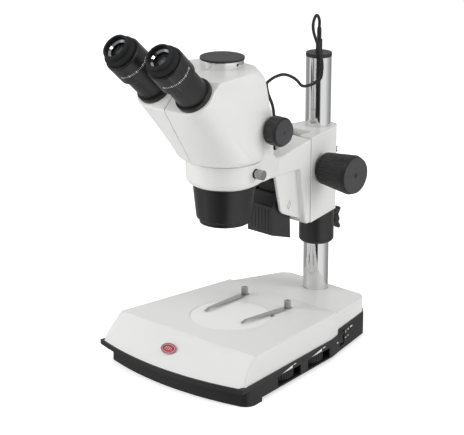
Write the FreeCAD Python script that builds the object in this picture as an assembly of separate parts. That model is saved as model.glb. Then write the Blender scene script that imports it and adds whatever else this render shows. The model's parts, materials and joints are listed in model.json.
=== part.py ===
"""Stereo microscope on a pole stand with stage light, top light and trinocular port.

Row frame: origin on the bench, under the middle of the whole microscope. +X is the
user's right, +Y points from the user to the pole, +Z is up. Lengths are in millimetres.
The dimensions below count y from the middle of the base's footprint; the last step
moves every piece by FRAME_SHIFT into the row frame.
Every function returns the solid or solids of one physical piece.
"""
import FreeCAD
import Part
import math
import os

V = FreeCAD.Vector
X, Y, Z = V(1, 0, 0), V(0, 1, 0), V(0, 0, 1)

# ---- driving dimensions -------------------------------------------------------
WALL = 3.0                      # moulded wall of covers and tray
RUN = 0.05                      # radial running clearance of turning and sliding fits
GAP = 0.3                       # loose gap between neighbouring covers
FRAME_SHIFT = 10.4              # row frame's y is the y used here plus this

# base
BASE_TOP = 59.5                 # working surface above the bench
REAR_TOP = 53.0                 # the top slopes down to this height at the rear edge
REAR_STEP = 1.8                 # step down where the rear part of the top starts
SEAM_Z = 27.5                   # joint line between white cover and black tray
REAR_SEAM_Z = 34.0              # the same joint line behind the shoulder
STEP_Y = 65.0                   # the rear part of the top starts here
FRONT_CORNER = (115.7, -134.6)  # front corner of the plan, at the joint line
FRONT_BOW_Y = -152.0            # middle of the bowed front
CREASE_Y = -107.5               # crease between the flat top and the sloping front
SHOULDER = (90.5, 55.0)         # the sides turn inwards here
NECK = (84.6, 75.0)             # the narrower rear part starts here
REAR_CORNER = (67.5, 142.0)
REAR_Y = 150.0
TRAY_LIP = 2.0                  # the tray stands proud of the cover
LIP_Z = 21.5                    # underside of the tray's lip
SET_BACK = 14.0                 # the tray's front stands this far behind its lip
CORNER_R = 12.0                 # rounded front corners of the tray, less the lip
TRAY_FLOOR_Z = 5.0              # underside of the raised tray
FOOT_STRIP_BACK_Y = -97.0       # the front foot strip of the tray ends here
PLATE_Y = -30.0                 # middle of the round stage plate
PLATE_R = 49.3
PLATE_T = 5.0
CLIP_PIVOT = (35.5, 35.0)       # clip screws, left and right of the middle
CLIP_TIP = (30.0, -41.0)
DIAL_Y = (-40.0, 24.0)          # brightness wheels in the right side
DIAL_R = 24.0
DIAL_Z = (8.5, 17.5)
SLOT_HALF = 24.0                # half length of a wheel slot
ROCKER_Y = 82.0
BADGE_X = -5.0
SCREW_SPOTS = [(-92, -100), (92, -100), (-73, 58), (73, 58)]
FOOT_SPOTS = [(-76, -106), (76, -106), (-52, 118), (52, 118)]
SOCKET_BOLTS = [(22, -20), (22, 12), (-22, -20), (-22, 12)]   # from the pole's axis
INLET_X, INLET_Z = -44.0, 18.0

# pole and stop collar
POLE_Y = 130.0
POLE_R = 16.0
POLE_TOP = 355.5
CAP_TOP = 360.0
PLUG_TOP = 376.0                # plug body, above the cap
RELIEF_TOP = 391.0              # ribbed strain relief
CABLE_R = 1.9
COLLAR_R = 22.0
COLLAR_Z = (117.0, 160.0)
COLLAR_KNOB_Z = 137.4

# focus block, rack drive and arm
BLOCK_Z = (160.0, 268.0)
BLOCK_FRONT_Y = 77.3
BLOCK_HALF = 35.0
BLOCK_REAR_Y = 151.0
CHANNEL_HALF = 17.0             # vertical slideway in the block's front
CHANNEL_Y = 98.5
SHAFT_Y = 104.0
SHAFT_Z = 224.0
SHAFT_R = 4.5
GEAR_MODULE = 1.0
GEAR_TEETH = 13
PITCH_R = GEAR_MODULE * GEAR_TEETH / 2
RACK_ADDENDUM = 0.7
BACKLASH = 0.12                 # each tooth flank gives way by this much
RACK_BACK_Y = SHAFT_Y - PITCH_R - 5.0
RAIL_Y = (79.0, 95.0)
TONGUE_Y = (85.0, 89.0)
TONGUE_X = 10.0
CARRIAGE_HALF = 12.9
BLOCK_KNOB_Z = 231.3
KNOB_X = (33.6, 83.0)           # focus knobs, near and far end from the middle
KNOB_R = (19.8, 24.5)
ARM_BACK_Y = 76.7
HEAD_Y = -40.6                  # axis of the head and of the arm's ring
RING_R = 46.2
RING_Z = (231.5, 262.0)
MOUNT_R = 38.0                  # the head's neck is the usual 76 mm size
ARM_TOP = (255.0, 266.5)        # arm top behind the head, and at the block
BAND_Z = 232.5                  # underside of the arm's upper band
CHEEK_X = (22.5, 27.0)          # side cheeks under the arm, inner and outer face
LOCK_R = 2.5
LOCK_ANGLE = 5.5                # the head lock screw points this far back from +X
LOCK_Z = 250.0

# lamp
LAMP_HALF = 20.0
LAMP_Y = (23.0, 57.0)
LAMP_Z = (142.0, 152.8)         # rear and front of the sloping underside
LAMP_PIVOT = (41.0, 214.0)      # y, z of the tilt pin

# head
COVER_Z = 262.3
TOP_Z = 373.5
EYE_BASE = (30.8, -123.1, 357.2)  # right tube's axis where it meets the 45 degree face
FACE_SUM = EYE_BASE[2] - EYE_BASE[1]  # z - y has this value all over the eyepiece face
EYE_TILT = 43.5                 # rise of each tube above the horizontal
EYE_TOE = 2.2                   # each tube leans outwards by this angle
EYE_LEN = 85.0                  # from the 45 degree face to the rim of the eyecup
BOSS_R = 26.0
PORT_Y = -44.4
PORT_R = 26.0
PORT_RING_H = 9.0
NOSE = 11.0                     # the head overhangs the arm's ring by this much in front
ZOOM_Y, ZOOM_Z = -7.4, 297.5
ZOOM_X = (45.8, 65.0)
ZOOM_R = 17.6
ZOOM_SHAFT_R = 4.5
SHROUD_Z = (183.0, 231.0)


# ---- helpers ------------------------------------------------------------------
def box(x0, x1, y0, y1, z0, z1):
    """Box between two corners."""
    return Part.makeBox(x1 - x0, y1 - y0, z1 - z0, V(x0, y0, z0))


def rod(r, start, direction, length):
    """Cylinder from a start point along a direction."""
    return Part.makeCylinder(r, length, V(*start), direction)


def ring(r_out, r_in, start, direction, length):
    """Straight tube."""
    return rod(r_out, start, direction, length).cut(rod(r_in, start, direction, length))


def prism(points, normal, depth):
    """Closed polygon swept along a vector."""
    wire = Part.makePolygon([V(*p) for p in points] + [V(*points[0])])
    return Part.Face(wire).extrude(normal * depth)


def slab_x(profile, x0, x1):
    """Side outline of (y, z) points, swept from x0 to x1."""
    return prism([(x0, y, z) for y, z in profile], X, x1 - x0)


def slab_z(outline, z0, z1):
    """Plan outline of (x, y) points, swept from z0 to z1."""
    return prism([(x, y, z0) for x, y in outline], Z, z1 - z0)


def mirrored(points):
    """Right-hand outline points, followed by their mirror images in reverse order."""
    return list(points) + [(-x, y) for x, y in reversed(points) if x > 0]


def turned(profile, start, direction):
    """Solid of revolution: (radius, distance along the axis) points."""
    wire = Part.makePolygon([V(r, 0, h) for r, h in profile] + [V(profile[0][0], 0, profile[0][1])])
    solid = Part.Face(wire).revolve(V(0, 0, 0), Z, 360)
    solid.Placement = FreeCAD.Placement(V(*start), FreeCAD.Rotation(Z, direction))
    return solid


def flip(shape):
    """Mirror image in the plane x = 0."""
    return shape.mirror(V(0, 0, 0), X)


def fuse(*shapes):
    """One solid from overlapping or touching ones; faces are merged where that is safe."""
    body = shapes[0].multiFuse(list(shapes[1:]))
    merged = body.removeSplitter()
    sound = merged.isValid() and len(merged.Solids) > 0
    if sound and (abs(merged.Volume - body.Volume) < 1.0 or not body.isValid()):
        return merged
    return body


def group(*shapes):
    """Separate solids kept in one node."""
    return Part.makeCompound(list(shapes))


def fluted(r, depth, count, start, direction, length, tool_r):
    """Cylinder with evenly spaced half-round flutes along its side."""
    body = rod(r, start, direction, length)
    side = direction.cross(Z if abs(direction.z) < 0.9 else X)
    side.normalize()
    tools = []
    for i in range(count):
        arm = FreeCAD.Rotation(direction, 360.0 * i / count).multVec(side)
        tools.append(rod(tool_r, V(*start) + arm * (r + tool_r - depth), direction, length))
    return body.cut(tools)


def eye_axis(sign):
    """Direction of an eyepiece tube, away from the head. sign is 1 for the right one."""
    toe, tilt = math.radians(EYE_TOE), math.radians(EYE_TILT)
    return V(sign * math.sin(toe), -math.cos(toe) * math.cos(tilt), math.cos(toe) * math.sin(tilt))


def eye_base(sign):
    """Point where a tube's axis meets the 45 degree face."""
    return V(sign * EYE_BASE[0], EYE_BASE[1], EYE_BASE[2])


FACE_NORMAL = V(0, -1, 1).normalize()   # out of the eyepiece face


# ---- base ---------------------------------------------------------------------
def side_x(y):
    """Half width of the cover at y, in front of the shoulder."""
    share = (y - FRONT_CORNER[1]) / (SHOULDER[1] - FRONT_CORNER[1])
    return FRONT_CORNER[0] + (SHOULDER[0] - FRONT_CORNER[0]) * share


def base_outline(grow, z, front_y, bow_y):
    """Plan outline of the base as a wire at height z: bowed front, tapering sides, neck."""
    corner = V(side_x(front_y) + grow, front_y - grow, z)
    right = [corner, V(SHOULDER[0] + grow, SHOULDER[1], z), V(NECK[0] + grow, NECK[1], z),
             V(REAR_CORNER[0] + grow, REAR_CORNER[1], z),
             V(REAR_CORNER[0] - 9 + grow, REAR_Y + grow, z)]
    left = [V(-p.x, p.y, p.z) for p in reversed(right)]
    path = right + left
    edges = [Part.makeLine(a, b) for a, b in zip(path, path[1:])]
    bow = Part.Arc(left[-1], V(0, bow_y - grow, z), corner).toShape()
    return Part.Wire(edges + [bow])


def base_body(grow, z0, z1):
    """Straight-sided body over the full footprint."""
    wire = base_outline(grow, z0, FRONT_CORNER[1], FRONT_BOW_Y)
    return Part.Face(wire).extrude(Z * (z1 - z0))


def skirt_body(grow, z0, z1):
    """Body under the tray's lip: its front is set back and its front corners are round."""
    wire = base_outline(grow, z0, FRONT_CORNER[1] + SET_BACK, FRONT_BOW_Y + SET_BACK)
    body = Part.Face(wire).extrude(Z * (z1 - z0))
    corners = [e for e in body.Edges if e.BoundBox.YMax < -90 and e.BoundBox.DiagonalLength < z1 - z0 + 0.01
               and e.BoundBox.ZLength > z1 - z0 - 0.01]
    return body.makeFillet(max(CORNER_R + grow, 2.0), corners)


def cover_body(grow):
    """Upper base body: vertical sides, and a front that slopes back to the crease."""
    low = base_outline(grow, SEAM_Z, FRONT_CORNER[1], FRONT_BOW_Y)
    high = base_outline(grow, BASE_TOP + grow, CREASE_Y, CREASE_Y - 4.0)
    body = Part.makeLoft([low, high], True, True)
    wedge = slab_x([(STEP_Y, BASE_TOP + grow - REAR_STEP), (REAR_Y + 5, REAR_TOP + grow),
                    (REAR_Y + 5, BASE_TOP + 20), (STEP_Y, BASE_TOP + 20)], -150, 150)
    return body.cut(wedge)


def base_cover():
    shell = cover_body(0).cut(cover_body(-WALL))
    shell = shell.cut(box(-150, 150, NECK[1] - 1.5, 200, 0, REAR_SEAM_Z))
    seat = rod(PLATE_R + 4, (0, PLATE_Y, BASE_TOP - PLATE_T - 3), Z, 6)
    shell = fuse(shell, seat)
    shell = shell.cut(rod(PLATE_R + GAP, (0, PLATE_Y, BASE_TOP - PLATE_T), Z, 20))
    shell = shell.cut(rod(PLATE_R - 5, (0, PLATE_Y, 40), Z, 30))
    shell = shell.cut(rod(POLE_R + GAP, (0, POLE_Y, 40), Z, 30))
    for sign in (-1, 1):
        shell = shell.cut(rod(2.2, (sign * CLIP_PIVOT[0], CLIP_PIVOT[1], 40), Z, 30))
    notch_angle = math.radians(41)
    notch = (PLATE_R * math.cos(notch_angle), PLATE_Y + PLATE_R * math.sin(notch_angle),
             BASE_TOP - 3.0)
    return shell.cut(rod(5.0, notch, Z, 10))


def base_tray():
    lip = base_body(TRAY_LIP, LIP_Z, SEAM_Z)
    skirt = skirt_body(TRAY_LIP, TRAY_FLOOR_Z, SEAM_Z - 1)
    rear = base_body(TRAY_LIP, SEAM_Z, REAR_SEAM_Z)
    rear = rear.common(box(-150, 150, NECK[1] - 1.2, 200, 0, 60))
    strip = skirt_body(TRAY_LIP, 0, TRAY_FLOOR_Z)
    strip = strip.common(box(-150, 150, -200, FOOT_STRIP_BACK_Y, 0, 60))
    hollow = skirt_body(-WALL + 1, TRAY_FLOOR_Z + WALL, 60)
    under = skirt_body(-9, -1, TRAY_FLOOR_Z)
    tray = fuse(lip, skirt, rear, strip).cut(hollow).cut(under)
    for y in DIAL_Y:
        tray = tray.cut(box(60, 130, y - SLOT_HALF, y + SLOT_HALF, DIAL_Z[0] - 1.5, DIAL_Z[1] + 1.5))
    tray = tray.cut(box(60, 130, ROCKER_Y - 6.2, ROCKER_Y + 6.2, 10.8, 29.2))
    tray = tray.cut(rod(6.2, (INLET_X, REAR_Y - 10, INLET_Z), Y, 30))
    for x, y in SCREW_SPOTS:
        tray = tray.cut(rod(2.0, (x, y, 0), Z, 30))
    for dx, dy in SOCKET_BOLTS:
        tray = tray.cut(rod(2.7, (dx, POLE_Y + dy, 0), Z, 30))
    return tray


def bottom_plate():
    """Flat steel plate under the tray, for weight and shielding."""
    plate = skirt_body(-9.5, TRAY_FLOOR_Z - 2.0, TRAY_FLOOR_Z)
    for x, y in SCREW_SPOTS:
        plate = plate.cut(rod(2.0, (x, y, 0), Z, 10))
    for dx, dy in SOCKET_BOLTS:
        plate = plate.cut(rod(5.5, (dx, POLE_Y + dy, 0), Z, 10))
    return plate


def rubber_feet():
    """Four round rubber feet; the rear pair carries the pole's side of the base."""
    feet = []
    for x, y in FOOT_SPOTS:
        feet.append(turned([(0, 0), (7, 0), (8, 1), (8, 3), (0, 3)], (x, y, 0), Z))
    return group(*feet)


def base_screws():
    """Four tray screws and the four bolts of the pole socket."""
    screws = []
    for x, y in SCREW_SPOTS:
        screws.append(turned([(0, 1.2), (3.4, 1.2), (3.4, 3.0), (1.6, 3.0), (1.6, 13), (0, 13)],
                             (x, y, 0), Z))
    for dx, dy in SOCKET_BOLTS:
        profile = [(0, 1.2), (4.5, 1.2), (4.5, 5.0), (2.4, 5.0), (2.4, 16), (0, 16)]
        screws.append(turned(profile, (dx, POLE_Y + dy, 0), Z))
    return group(*screws)


def badge():
    """Plain oval badge on the sloping front."""
    slope = math.degrees(math.atan2(BASE_TOP - SEAM_Z, CREASE_Y - 4 - FRONT_BOW_Y))
    plate = Part.Face(Part.Wire(Part.Ellipse(V(0, 0, 0), 11.4, 7.2).toShape())).extrude(Z * 1.5)
    middle_y = (CREASE_Y - 4 + FRONT_BOW_Y) / 2
    middle_z = (BASE_TOP + SEAM_Z) / 2
    spot = V(BADGE_X, middle_y, middle_z + 0.3)
    plate.Placement = FreeCAD.Placement(spot, FreeCAD.Rotation(X, slope))
    return plate


def stage_plate():
    """White contrast plate that drops into the round recess."""
    plate = rod(PLATE_R, (0, PLATE_Y, BASE_TOP - PLATE_T), Z, PLATE_T)
    edge = [e for e in plate.Edges if e.BoundBox.ZMin > BASE_TOP - 0.1 and e.Closed]
    return plate.makeChamfer(0.5, edge[:1])


def stage_light():
    """LED board with its lens, under the stage plate."""
    board = box(-30, 30, PLATE_Y - 30, PLATE_Y + 30, 12, 13.6)
    spacer = rod(5, (0, PLATE_Y, 8), Z, 4)
    sink = box(-14, 14, PLATE_Y - 14, PLATE_Y + 14, 13.6, 18)
    lens = turned([(0, 18), (13, 18), (13, 21), (9, 25), (0, 27)], (0, PLATE_Y, 0), Z)
    return fuse(board, spacer, sink, lens)


def control_board():
    """Dimmer and supply board; the wheels turn on its two upright shafts."""
    parts = [box(32, 45, -75, 62, 10, 11.6)]
    for y in DIAL_Y:
        cx = dial_axis_x(y)
        parts.append(box(38, 44, y - 6, y + 6, 8, 10.5))
        parts.append(box(38, cx + 5, y - 6, y + 6, 8, 8.3))
        parts.append(rod(3.0, (cx, y, 8), Z, 12))
    return fuse(*parts)


def dial_axis_x(y):
    """The wheel's rim stays just inside the tray's side."""
    return side_x(y) + TRAY_LIP - DIAL_R - 1.5


def dial(y):
    """Brightness wheel: upright axis, ribbed rim."""
    start = (dial_axis_x(y), y, DIAL_Z[0])
    wheel = fluted(DIAL_R, 0.9, 40, start, Z, DIAL_Z[1] - DIAL_Z[0], 1.2)
    return wheel.cut(rod(3.0 + RUN, start, Z, 20))


def rocker_axis_x():
    """Depth of the rocker's pivot behind the tapering rear side."""
    share = (ROCKER_Y - NECK[1]) / (REAR_CORNER[1] - NECK[1])
    return NECK[0] + (REAR_CORNER[0] - NECK[0]) * share + TRAY_LIP - 5.0


def power_rocker():
    """Rocker that tips about a fore-and-aft pin."""
    cx = rocker_axis_x()
    profile = [(cx - 1.5, 14), (cx + 3.2, 12.5), (cx + 2.0, 20), (cx + 4.4, 27.5), (cx - 1.5, 26)]
    body = prism([(x, ROCKER_Y - 5, z) for x, z in profile], Y, 10)
    return fuse(body, rod(1.5, (cx, ROCKER_Y - 5.9, 20), Y, 11.8))


def power_inlet():
    """Round socket for the mains adaptor, in the rear of the tray."""
    y0 = REAR_Y + TRAY_LIP
    shell = turned([(2.75, 0), (2.75, 10), (1.2, 10), (1.2, 12), (6, 12), (6, 2), (8, 2), (8, 0)],
                   (INLET_X, y0 + 2.0, INLET_Z), V(0, -1, 0))
    pin = rod(1.0, (INLET_X, y0 - 10, INLET_Z), Y, 9)
    return fuse(shell, pin, rod(1.3, (INLET_X, y0 - 10, INLET_Z), Y, 1.0))


def clip_screws():
    """Two knurled screws that hold the stage clips."""
    screws = []
    for sign in (-1, 1):
        x, y = sign * CLIP_PIVOT[0], CLIP_PIVOT[1]
        head = fluted(4.3, 0.5, 14, (x, y, BASE_TOP + 2.2), Z, 8.2, 0.8)
        bore = rod(1.6, (x, y, BASE_TOP + 9.2), Z, 3)
        stem = rod(2.0, (x, y, 50), Z, BASE_TOP + 2.2 - 50)
        nut = rod(4.5, (x, y, 51.5), Z, 4.5)
        screws.append(fuse(head.cut(bore), stem, nut))
    return group(*screws)


def stage_clip(sign):
    """Spring blade: widest near the screw, narrow at the tip, which rests on the stage plate."""
    px, py = CLIP_PIVOT
    tx, ty = CLIP_TIP
    length = math.hypot(px - tx, py - ty)
    z0 = BASE_TOP + 0.4
    side = [(-6, z0), (8, z0), (length - 6, z0 + 2.2), (length + 1.5, z0 + 0.2),
            (length + 1.5, z0 + 1.0), (length - 6, z0 + 3.1), (8, z0 + 1.0), (-6, z0 + 1.0)]
    strip = prism([(-10, s, z) for s, z in side], X, 20)
    plan = slab_z([(-3.6, -5), (-3.8, 3), (-4.9, 13), (-1.9, length + 2), (1.9, length + 2), (4.9, 13),
                   (3.8, 3), (3.6, -5)], z0 - 1, z0 + 8)
    blade = strip.common(plan).cut(rod(2.0 + RUN, (0, 0, z0 - 1), Z, 10))
    blade.rotate(V(0, 0, 0), Z, 180.0 - math.degrees(math.atan2(px - tx, py - ty)))
    blade.translate(V(px, py, 0))
    return blade if sign > 0 else flip(blade)


# ---- pole ---------------------------------------------------------------------
def pole():
    return ring(POLE_R, POLE_R - 3, (0, POLE_Y, 14), Z, POLE_TOP - 14)


def pole_socket():
    """Cast flange that carries the pole, bolted through the tray."""
    body = fuse(box(-30, 30, POLE_Y - 30, POLE_Y + 16, 8, 14),
                rod(20, (0, POLE_Y - 3.4, 10), Z, 30))
    body = body.cut(rod(POLE_R, (0, POLE_Y, 14), Z, 40))
    for dx, dy in SOCKET_BOLTS:
        body = body.cut(rod(2.4, (dx, POLE_Y + dy, 0), Z, 16))
    return body.cut(rod(5, (0, POLE_Y, 0), Z, 20))


def pole_cap():
    """Black end cap with a socket for the lamp cable."""
    cap = fuse(rod(POLE_R + 0.2, (0, POLE_Y, POLE_TOP), Z, CAP_TOP - POLE_TOP),
               rod(POLE_R - 3, (0, POLE_Y, POLE_TOP - 12), Z, 12))
    return cap.cut(rod(3.0, (0, POLE_Y, POLE_TOP - 20), Z, 40))


def cable_plug():
    """Plug body and ribbed strain relief, standing in the pole cap."""
    sleeve = [(0, PLUG_TOP), (2.9, PLUG_TOP)]
    for i in range(5):
        z = PLUG_TOP + 1.5 + 2.3 * i
        sleeve += [(2.9, z), (2.2, z), (2.2, z + 0.8), (2.9, z + 0.8)]
    sleeve += [(2.4, RELIEF_TOP), (0, RELIEF_TOP)]
    return fuse(rod(2.9, (0, POLE_Y, POLE_TOP - 12), Z, CAP_TOP - POLE_TOP + 13),
                rod(4.1, (0, POLE_Y, CAP_TOP), Z, PLUG_TOP - CAP_TOP),
                turned(sleeve, (0, POLE_Y, 0), Z))


def swept_cable(points, first, last):
    """Round cable along a smooth curve through the points, with its two end directions."""
    curve = Part.BSplineCurve()
    curve.interpolate(Points=[V(*p) for p in points], InitialTangent=first, FinalTangent=last,
                      Scale=False)
    path = Part.Wire(curve.toShape())
    circle = Part.makeCircle(CABLE_R, V(*points[0]), first)
    return path.makePipeShell([Part.Wire(circle)], True, False)


def cable_loop():
    """First part of the lamp cable: over the plug and down the front of the pole."""
    return swept_cable([(0, POLE_Y, RELIEF_TOP + 0.1), (0, POLE_Y - 0.2, 400), (0, POLE_Y - 5, 406.5),
                        (1, POLE_Y - 12, 400.5), (6.5, POLE_Y - 14, 379), (15.7, POLE_Y - 13.7, 357),
                        (16.4, POLE_Y - 13, 343)], Z, V(0, 0, -1))


def cable_drop():
    """Last part of the lamp cable: behind the head, into the top of the arm."""
    return swept_cable([(0, 33.5, 336), (0, 36.5, 325), (0, 44, 310), (0, 47.5, 294), (0, 48, 249)],
                       V(0, 0.2, -1), V(0, 0, -1))


# ---- stop collar --------------------------------------------------------------
def stop_collar():
    z0, z1 = COLLAR_Z
    sleeve = turned([(POLE_R + RUN, z0), (COLLAR_R - 3, z0), (COLLAR_R, z0 + 3), (COLLAR_R, z1),
                     (POLE_R + RUN, z1)], (0, POLE_Y, 0), Z)
    boss = rod(6.5, (0, POLE_Y + COLLAR_R - 3, COLLAR_KNOB_Z), Y, 9)
    body = fuse(sleeve, boss)
    return body.cut(rod(3.0 + RUN, (0, POLE_Y + POLE_R - 2, COLLAR_KNOB_Z), Y, 30))


def clamp_screw(y0, y_face, z, r, length, lobes):
    """Clamping screw with a lobed plastic head, axis along +Y."""
    stem = rod(3.0, (0, y0, z), Y, y_face - y0 + 2)
    hub = fluted(r, r * 0.28, lobes, (0, y_face, z), Y, length, r * 0.5)
    return fuse(stem, hub)


def collar_knob():
    """Two-winged knob of the stop collar."""
    y0 = POLE_Y + COLLAR_R + 6.5
    side = [(y0, -7), (y0 + 4, -9), (y0 + 13, -14.5), (y0 + 16, -12), (y0 + 11, -4),
            (y0 + 11, 4), (y0 + 16, 12), (y0 + 13, 14.5), (y0 + 4, 9), (y0, 7)]
    wings = slab_x([(y, z + COLLAR_KNOB_Z) for y, z in side], -3.2, 3.2)
    hub = rod(7, (0, y0, COLLAR_KNOB_Z), Y, 9)
    stem = rod(3.0, (0, POLE_Y + POLE_R + 0.2, COLLAR_KNOB_Z), Y, 16)
    return fuse(stem, hub, wings)


# ---- focus block and drive ------------------------------------------------------
def focus_block():
    rear = BLOCK_REAR_Y
    outline = mirrored([(BLOCK_HALF, BLOCK_FRONT_Y), (19.8, rear - 8), (14, rear - 1.5), (6, rear)])
    body = slab_z(outline, *BLOCK_Z)
    body = body.cut(rod(POLE_R + RUN, (0, POLE_Y, 100), Z, 250))
    body = body.cut(box(-CHANNEL_HALF, CHANNEL_HALF, 70, CHANNEL_Y, 100, 300))
    body = body.cut(rod(8.7, (-9.5, SHAFT_Y, SHAFT_Z), X, 19))
    body = body.cut(box(-9.5, 9.5, CHANNEL_Y - 1, SHAFT_Y, SHAFT_Z - 8.7, SHAFT_Z + 8.7))
    body = body.cut(rod(7.0, (-50, SHAFT_Y, SHAFT_Z), X, 100))
    return body.cut(rod(3.0 + RUN, (0, POLE_Y, BLOCK_KNOB_Z), Y, 40))


def block_knob():
    """Clamping knob at the back of the block."""
    return clamp_screw(POLE_Y + POLE_R + 0.2, BLOCK_REAR_Y + 1.5, BLOCK_KNOB_Z, 9.0, 8.0, 8)


def shaft_bushes():
    """Two plain bearings of the focus shaft."""
    right = ring(7.0, SHAFT_R + RUN, (11, SHAFT_Y, SHAFT_Z), X, 16)
    return group(right, flip(right))


def block_rails():
    """Pair of hardened guide rails with an inward tongue each."""
    z0, z1 = BLOCK_Z[0] + 4, BLOCK_Z[1] - 6
    body = box(CARRIAGE_HALF + RUN, CHANNEL_HALF, *RAIL_Y, z0, z1)
    tongue = box(TONGUE_X + RUN, CARRIAGE_HALF + 1, *TONGUE_Y, z0, z1)
    right = fuse(body, tongue)
    return group(right, flip(right))


def slide_carriage():
    """Moving slide: runs between the rails and carries the arm."""
    z0, z1 = 172.0, 256.0
    bar = box(-CARRIAGE_HALF, CARRIAGE_HALF, ARM_BACK_Y, RACK_BACK_Y, z0, z1)
    grooves = [box(TONGUE_X, 20, TONGUE_Y[0] - RUN, TONGUE_Y[1] + RUN, z0, z1)]
    grooves.append(flip(grooves[0]))
    return bar.cut(grooves)


def focus_rack():
    """Straight rack on the slide, teeth towards the pole."""
    pitch = math.pi * GEAR_MODULE
    slope = math.tan(math.radians(20))
    line_y = SHAFT_Y - PITCH_R
    half = 11
    body = box(-5, 5, RACK_BACK_Y, line_y - 1.25, SHAFT_Z - (half + 0.5) * pitch,
               SHAFT_Z + (half + 0.5) * pitch)
    teeth = []
    for i in range(-half, half):
        zc = SHAFT_Z + (i + 0.5) * pitch
        foot = pitch / 4 + 1.3 * slope - BACKLASH
        tip = pitch / 4 - RACK_ADDENDUM * slope - BACKLASH
        teeth.append(slab_x([(line_y - 1.3, zc - foot), (line_y + RACK_ADDENDUM, zc - tip),
                             (line_y + RACK_ADDENDUM, zc + tip), (line_y - 1.3, zc + foot)], -5, 5))
    return fuse(body, *teeth)


def involute(r_base, r):
    """Polar angle of the involute at radius r, from where it leaves the base circle."""
    roll = math.sqrt(max(0.0, (r / r_base) ** 2 - 1))
    return roll - math.atan(roll)


def pinion_gear():
    """Involute pinion with one tooth pointing at the rack."""
    r_base = PITCH_R * math.cos(math.radians(20))
    r_root, r_tip = PITCH_R - 1.0, PITCH_R + GEAR_MODULE
    half = math.pi / (2 * GEAR_TEETH) - BACKLASH / PITCH_R / 2 + involute(r_base, PITCH_R)
    radii = [r_base + (r_tip - r_base) * i / 5.0 for i in range(6)]
    outline = []
    for tooth in range(GEAR_TEETH):
        middle = math.pi + 2 * math.pi * tooth / GEAR_TEETH
        left = [(r_root, half)] + [(r, half - involute(r_base, r)) for r in radii]
        right = [(r, -a) for r, a in reversed(left)]
        for r, a in [(r, -a) for r, a in left] + [(r, -a) for r, a in right]:
            outline.append((SHAFT_Y + r * math.cos(middle + a), SHAFT_Z + r * math.sin(middle + a)))
    return slab_x(outline, -6, 6).cut(rod(SHAFT_R, (-10, SHAFT_Y, SHAFT_Z), X, 20))


def focus_shaft():
    return rod(SHAFT_R, (-KNOB_X[1] + 6, SHAFT_Y, SHAFT_Z), X, 2 * KNOB_X[1] - 12)


def focus_knob(sign):
    """Large ribbed knob: conical grip with a smooth domed end."""
    near, far = KNOB_X
    r0, r1 = KNOB_R
    body = turned([(0, 0), (r0 - 2, 0), (r0, 2), (r1, far - near - 6), (r1 - 1.5, far - near - 1.5),
                   (r1 - 5, far - near - 0.4), (0, far - near)], (near, SHAFT_Y, SHAFT_Z), X)
    hub = rod(6.5, (near - 2.8, SHAFT_Y, SHAFT_Z), X, 4)
    bore = rod(SHAFT_R, (near - 5, SHAFT_Y, SHAFT_Z), X, far - near - 1)
    body = fuse(body, hub).cut(bore)
    lean = math.degrees(math.atan2(r1 - r0, far - near - 8))
    count = 36
    grooves = []
    for i in range(count):
        groove = rod(1.1, (near + 4, 0, r0 + 0.6), X, far - near - 13)
        groove.rotate(V(near + 4, 0, r0 + 0.6), Y, -lean)
        groove.rotate(V(0, 0, 0), X, 360.0 * i / count)
        groove.translate(V(0, SHAFT_Y, SHAFT_Z))
        grooves.append(groove)
    body = body.cut(grooves)
    return body if sign > 0 else flip(body)


# ---- arm ----------------------------------------------------------------------
def arm():
    """Casting: ring round the head, upper band, side cheeks, and the plate on the slide."""
    z0, z1 = RING_Z
    holder = turned([(0, z0), (RING_R - 8, z0), (RING_R - 2.5, z0 + 2.5), (RING_R, z0 + 8),
                     (RING_R, z1), (0, z1)], (0, HEAD_Y, 0), Z)
    profile = [(HEAD_Y, BAND_Z + 3), (0, BAND_Z + 1), (20, BAND_Z), (58, BAND_Z), (67, 166),
               (70, BLOCK_Z[0]), (ARM_BACK_Y, BLOCK_Z[0]), (ARM_BACK_Y, ARM_TOP[1]),
               (24, ARM_TOP[0]), (14, ARM_TOP[0] + 1), (8, z1), (HEAD_Y, z1)]
    plan = mirrored([(RING_R - 0.4, HEAD_Y), (41.5, -20), (32.6, 20), (BLOCK_HALF, ARM_BACK_Y)])
    band = slab_x(profile, -60, 60).common(slab_z(plan, 150, 280))
    cheek = [(19, BAND_Z + 2), (31, 184), (35, 179.5), (52, 172), (69, 165), (69, BAND_Z + 2)]
    right = slab_x(cheek, *CHEEK_X)
    body = fuse(holder, band, right, flip(right))
    body = body.cut(rod(MOUNT_R + RUN, (0, HEAD_Y, 200), Z, 100))
    body = body.cut(slab_x([(36, 300), (36, 246), (60, 246), (68, 252), (68, 300)], -13, 13))
    body = body.cut(rod(LOCK_R, lock_point(30), lock_axis(), 60))
    return body.cut(rod(2.2, (0, 48, 200), Z, 60))


def lock_axis():
    angle = math.radians(LOCK_ANGLE)
    return V(math.cos(angle), math.sin(angle), 0)


def lock_point(distance):
    """Point on the lock screw's axis, at a distance from the ring's axis."""
    return V(0, HEAD_Y, LOCK_Z) + lock_axis() * distance


def head_lock_screw():
    """Thumb screw that clamps the head in the ring."""
    stem = rod(LOCK_R - RUN, lock_point(MOUNT_R + 0.3), lock_axis(), 12)
    collar = rod(4.5, lock_point(RING_R + 0.6), lock_axis(), 3)
    head = fluted(6.0, 0.4, 24, lock_point(RING_R + 3.4), lock_axis(), 8, 0.7)
    return fuse(stem, collar, head)


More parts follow.
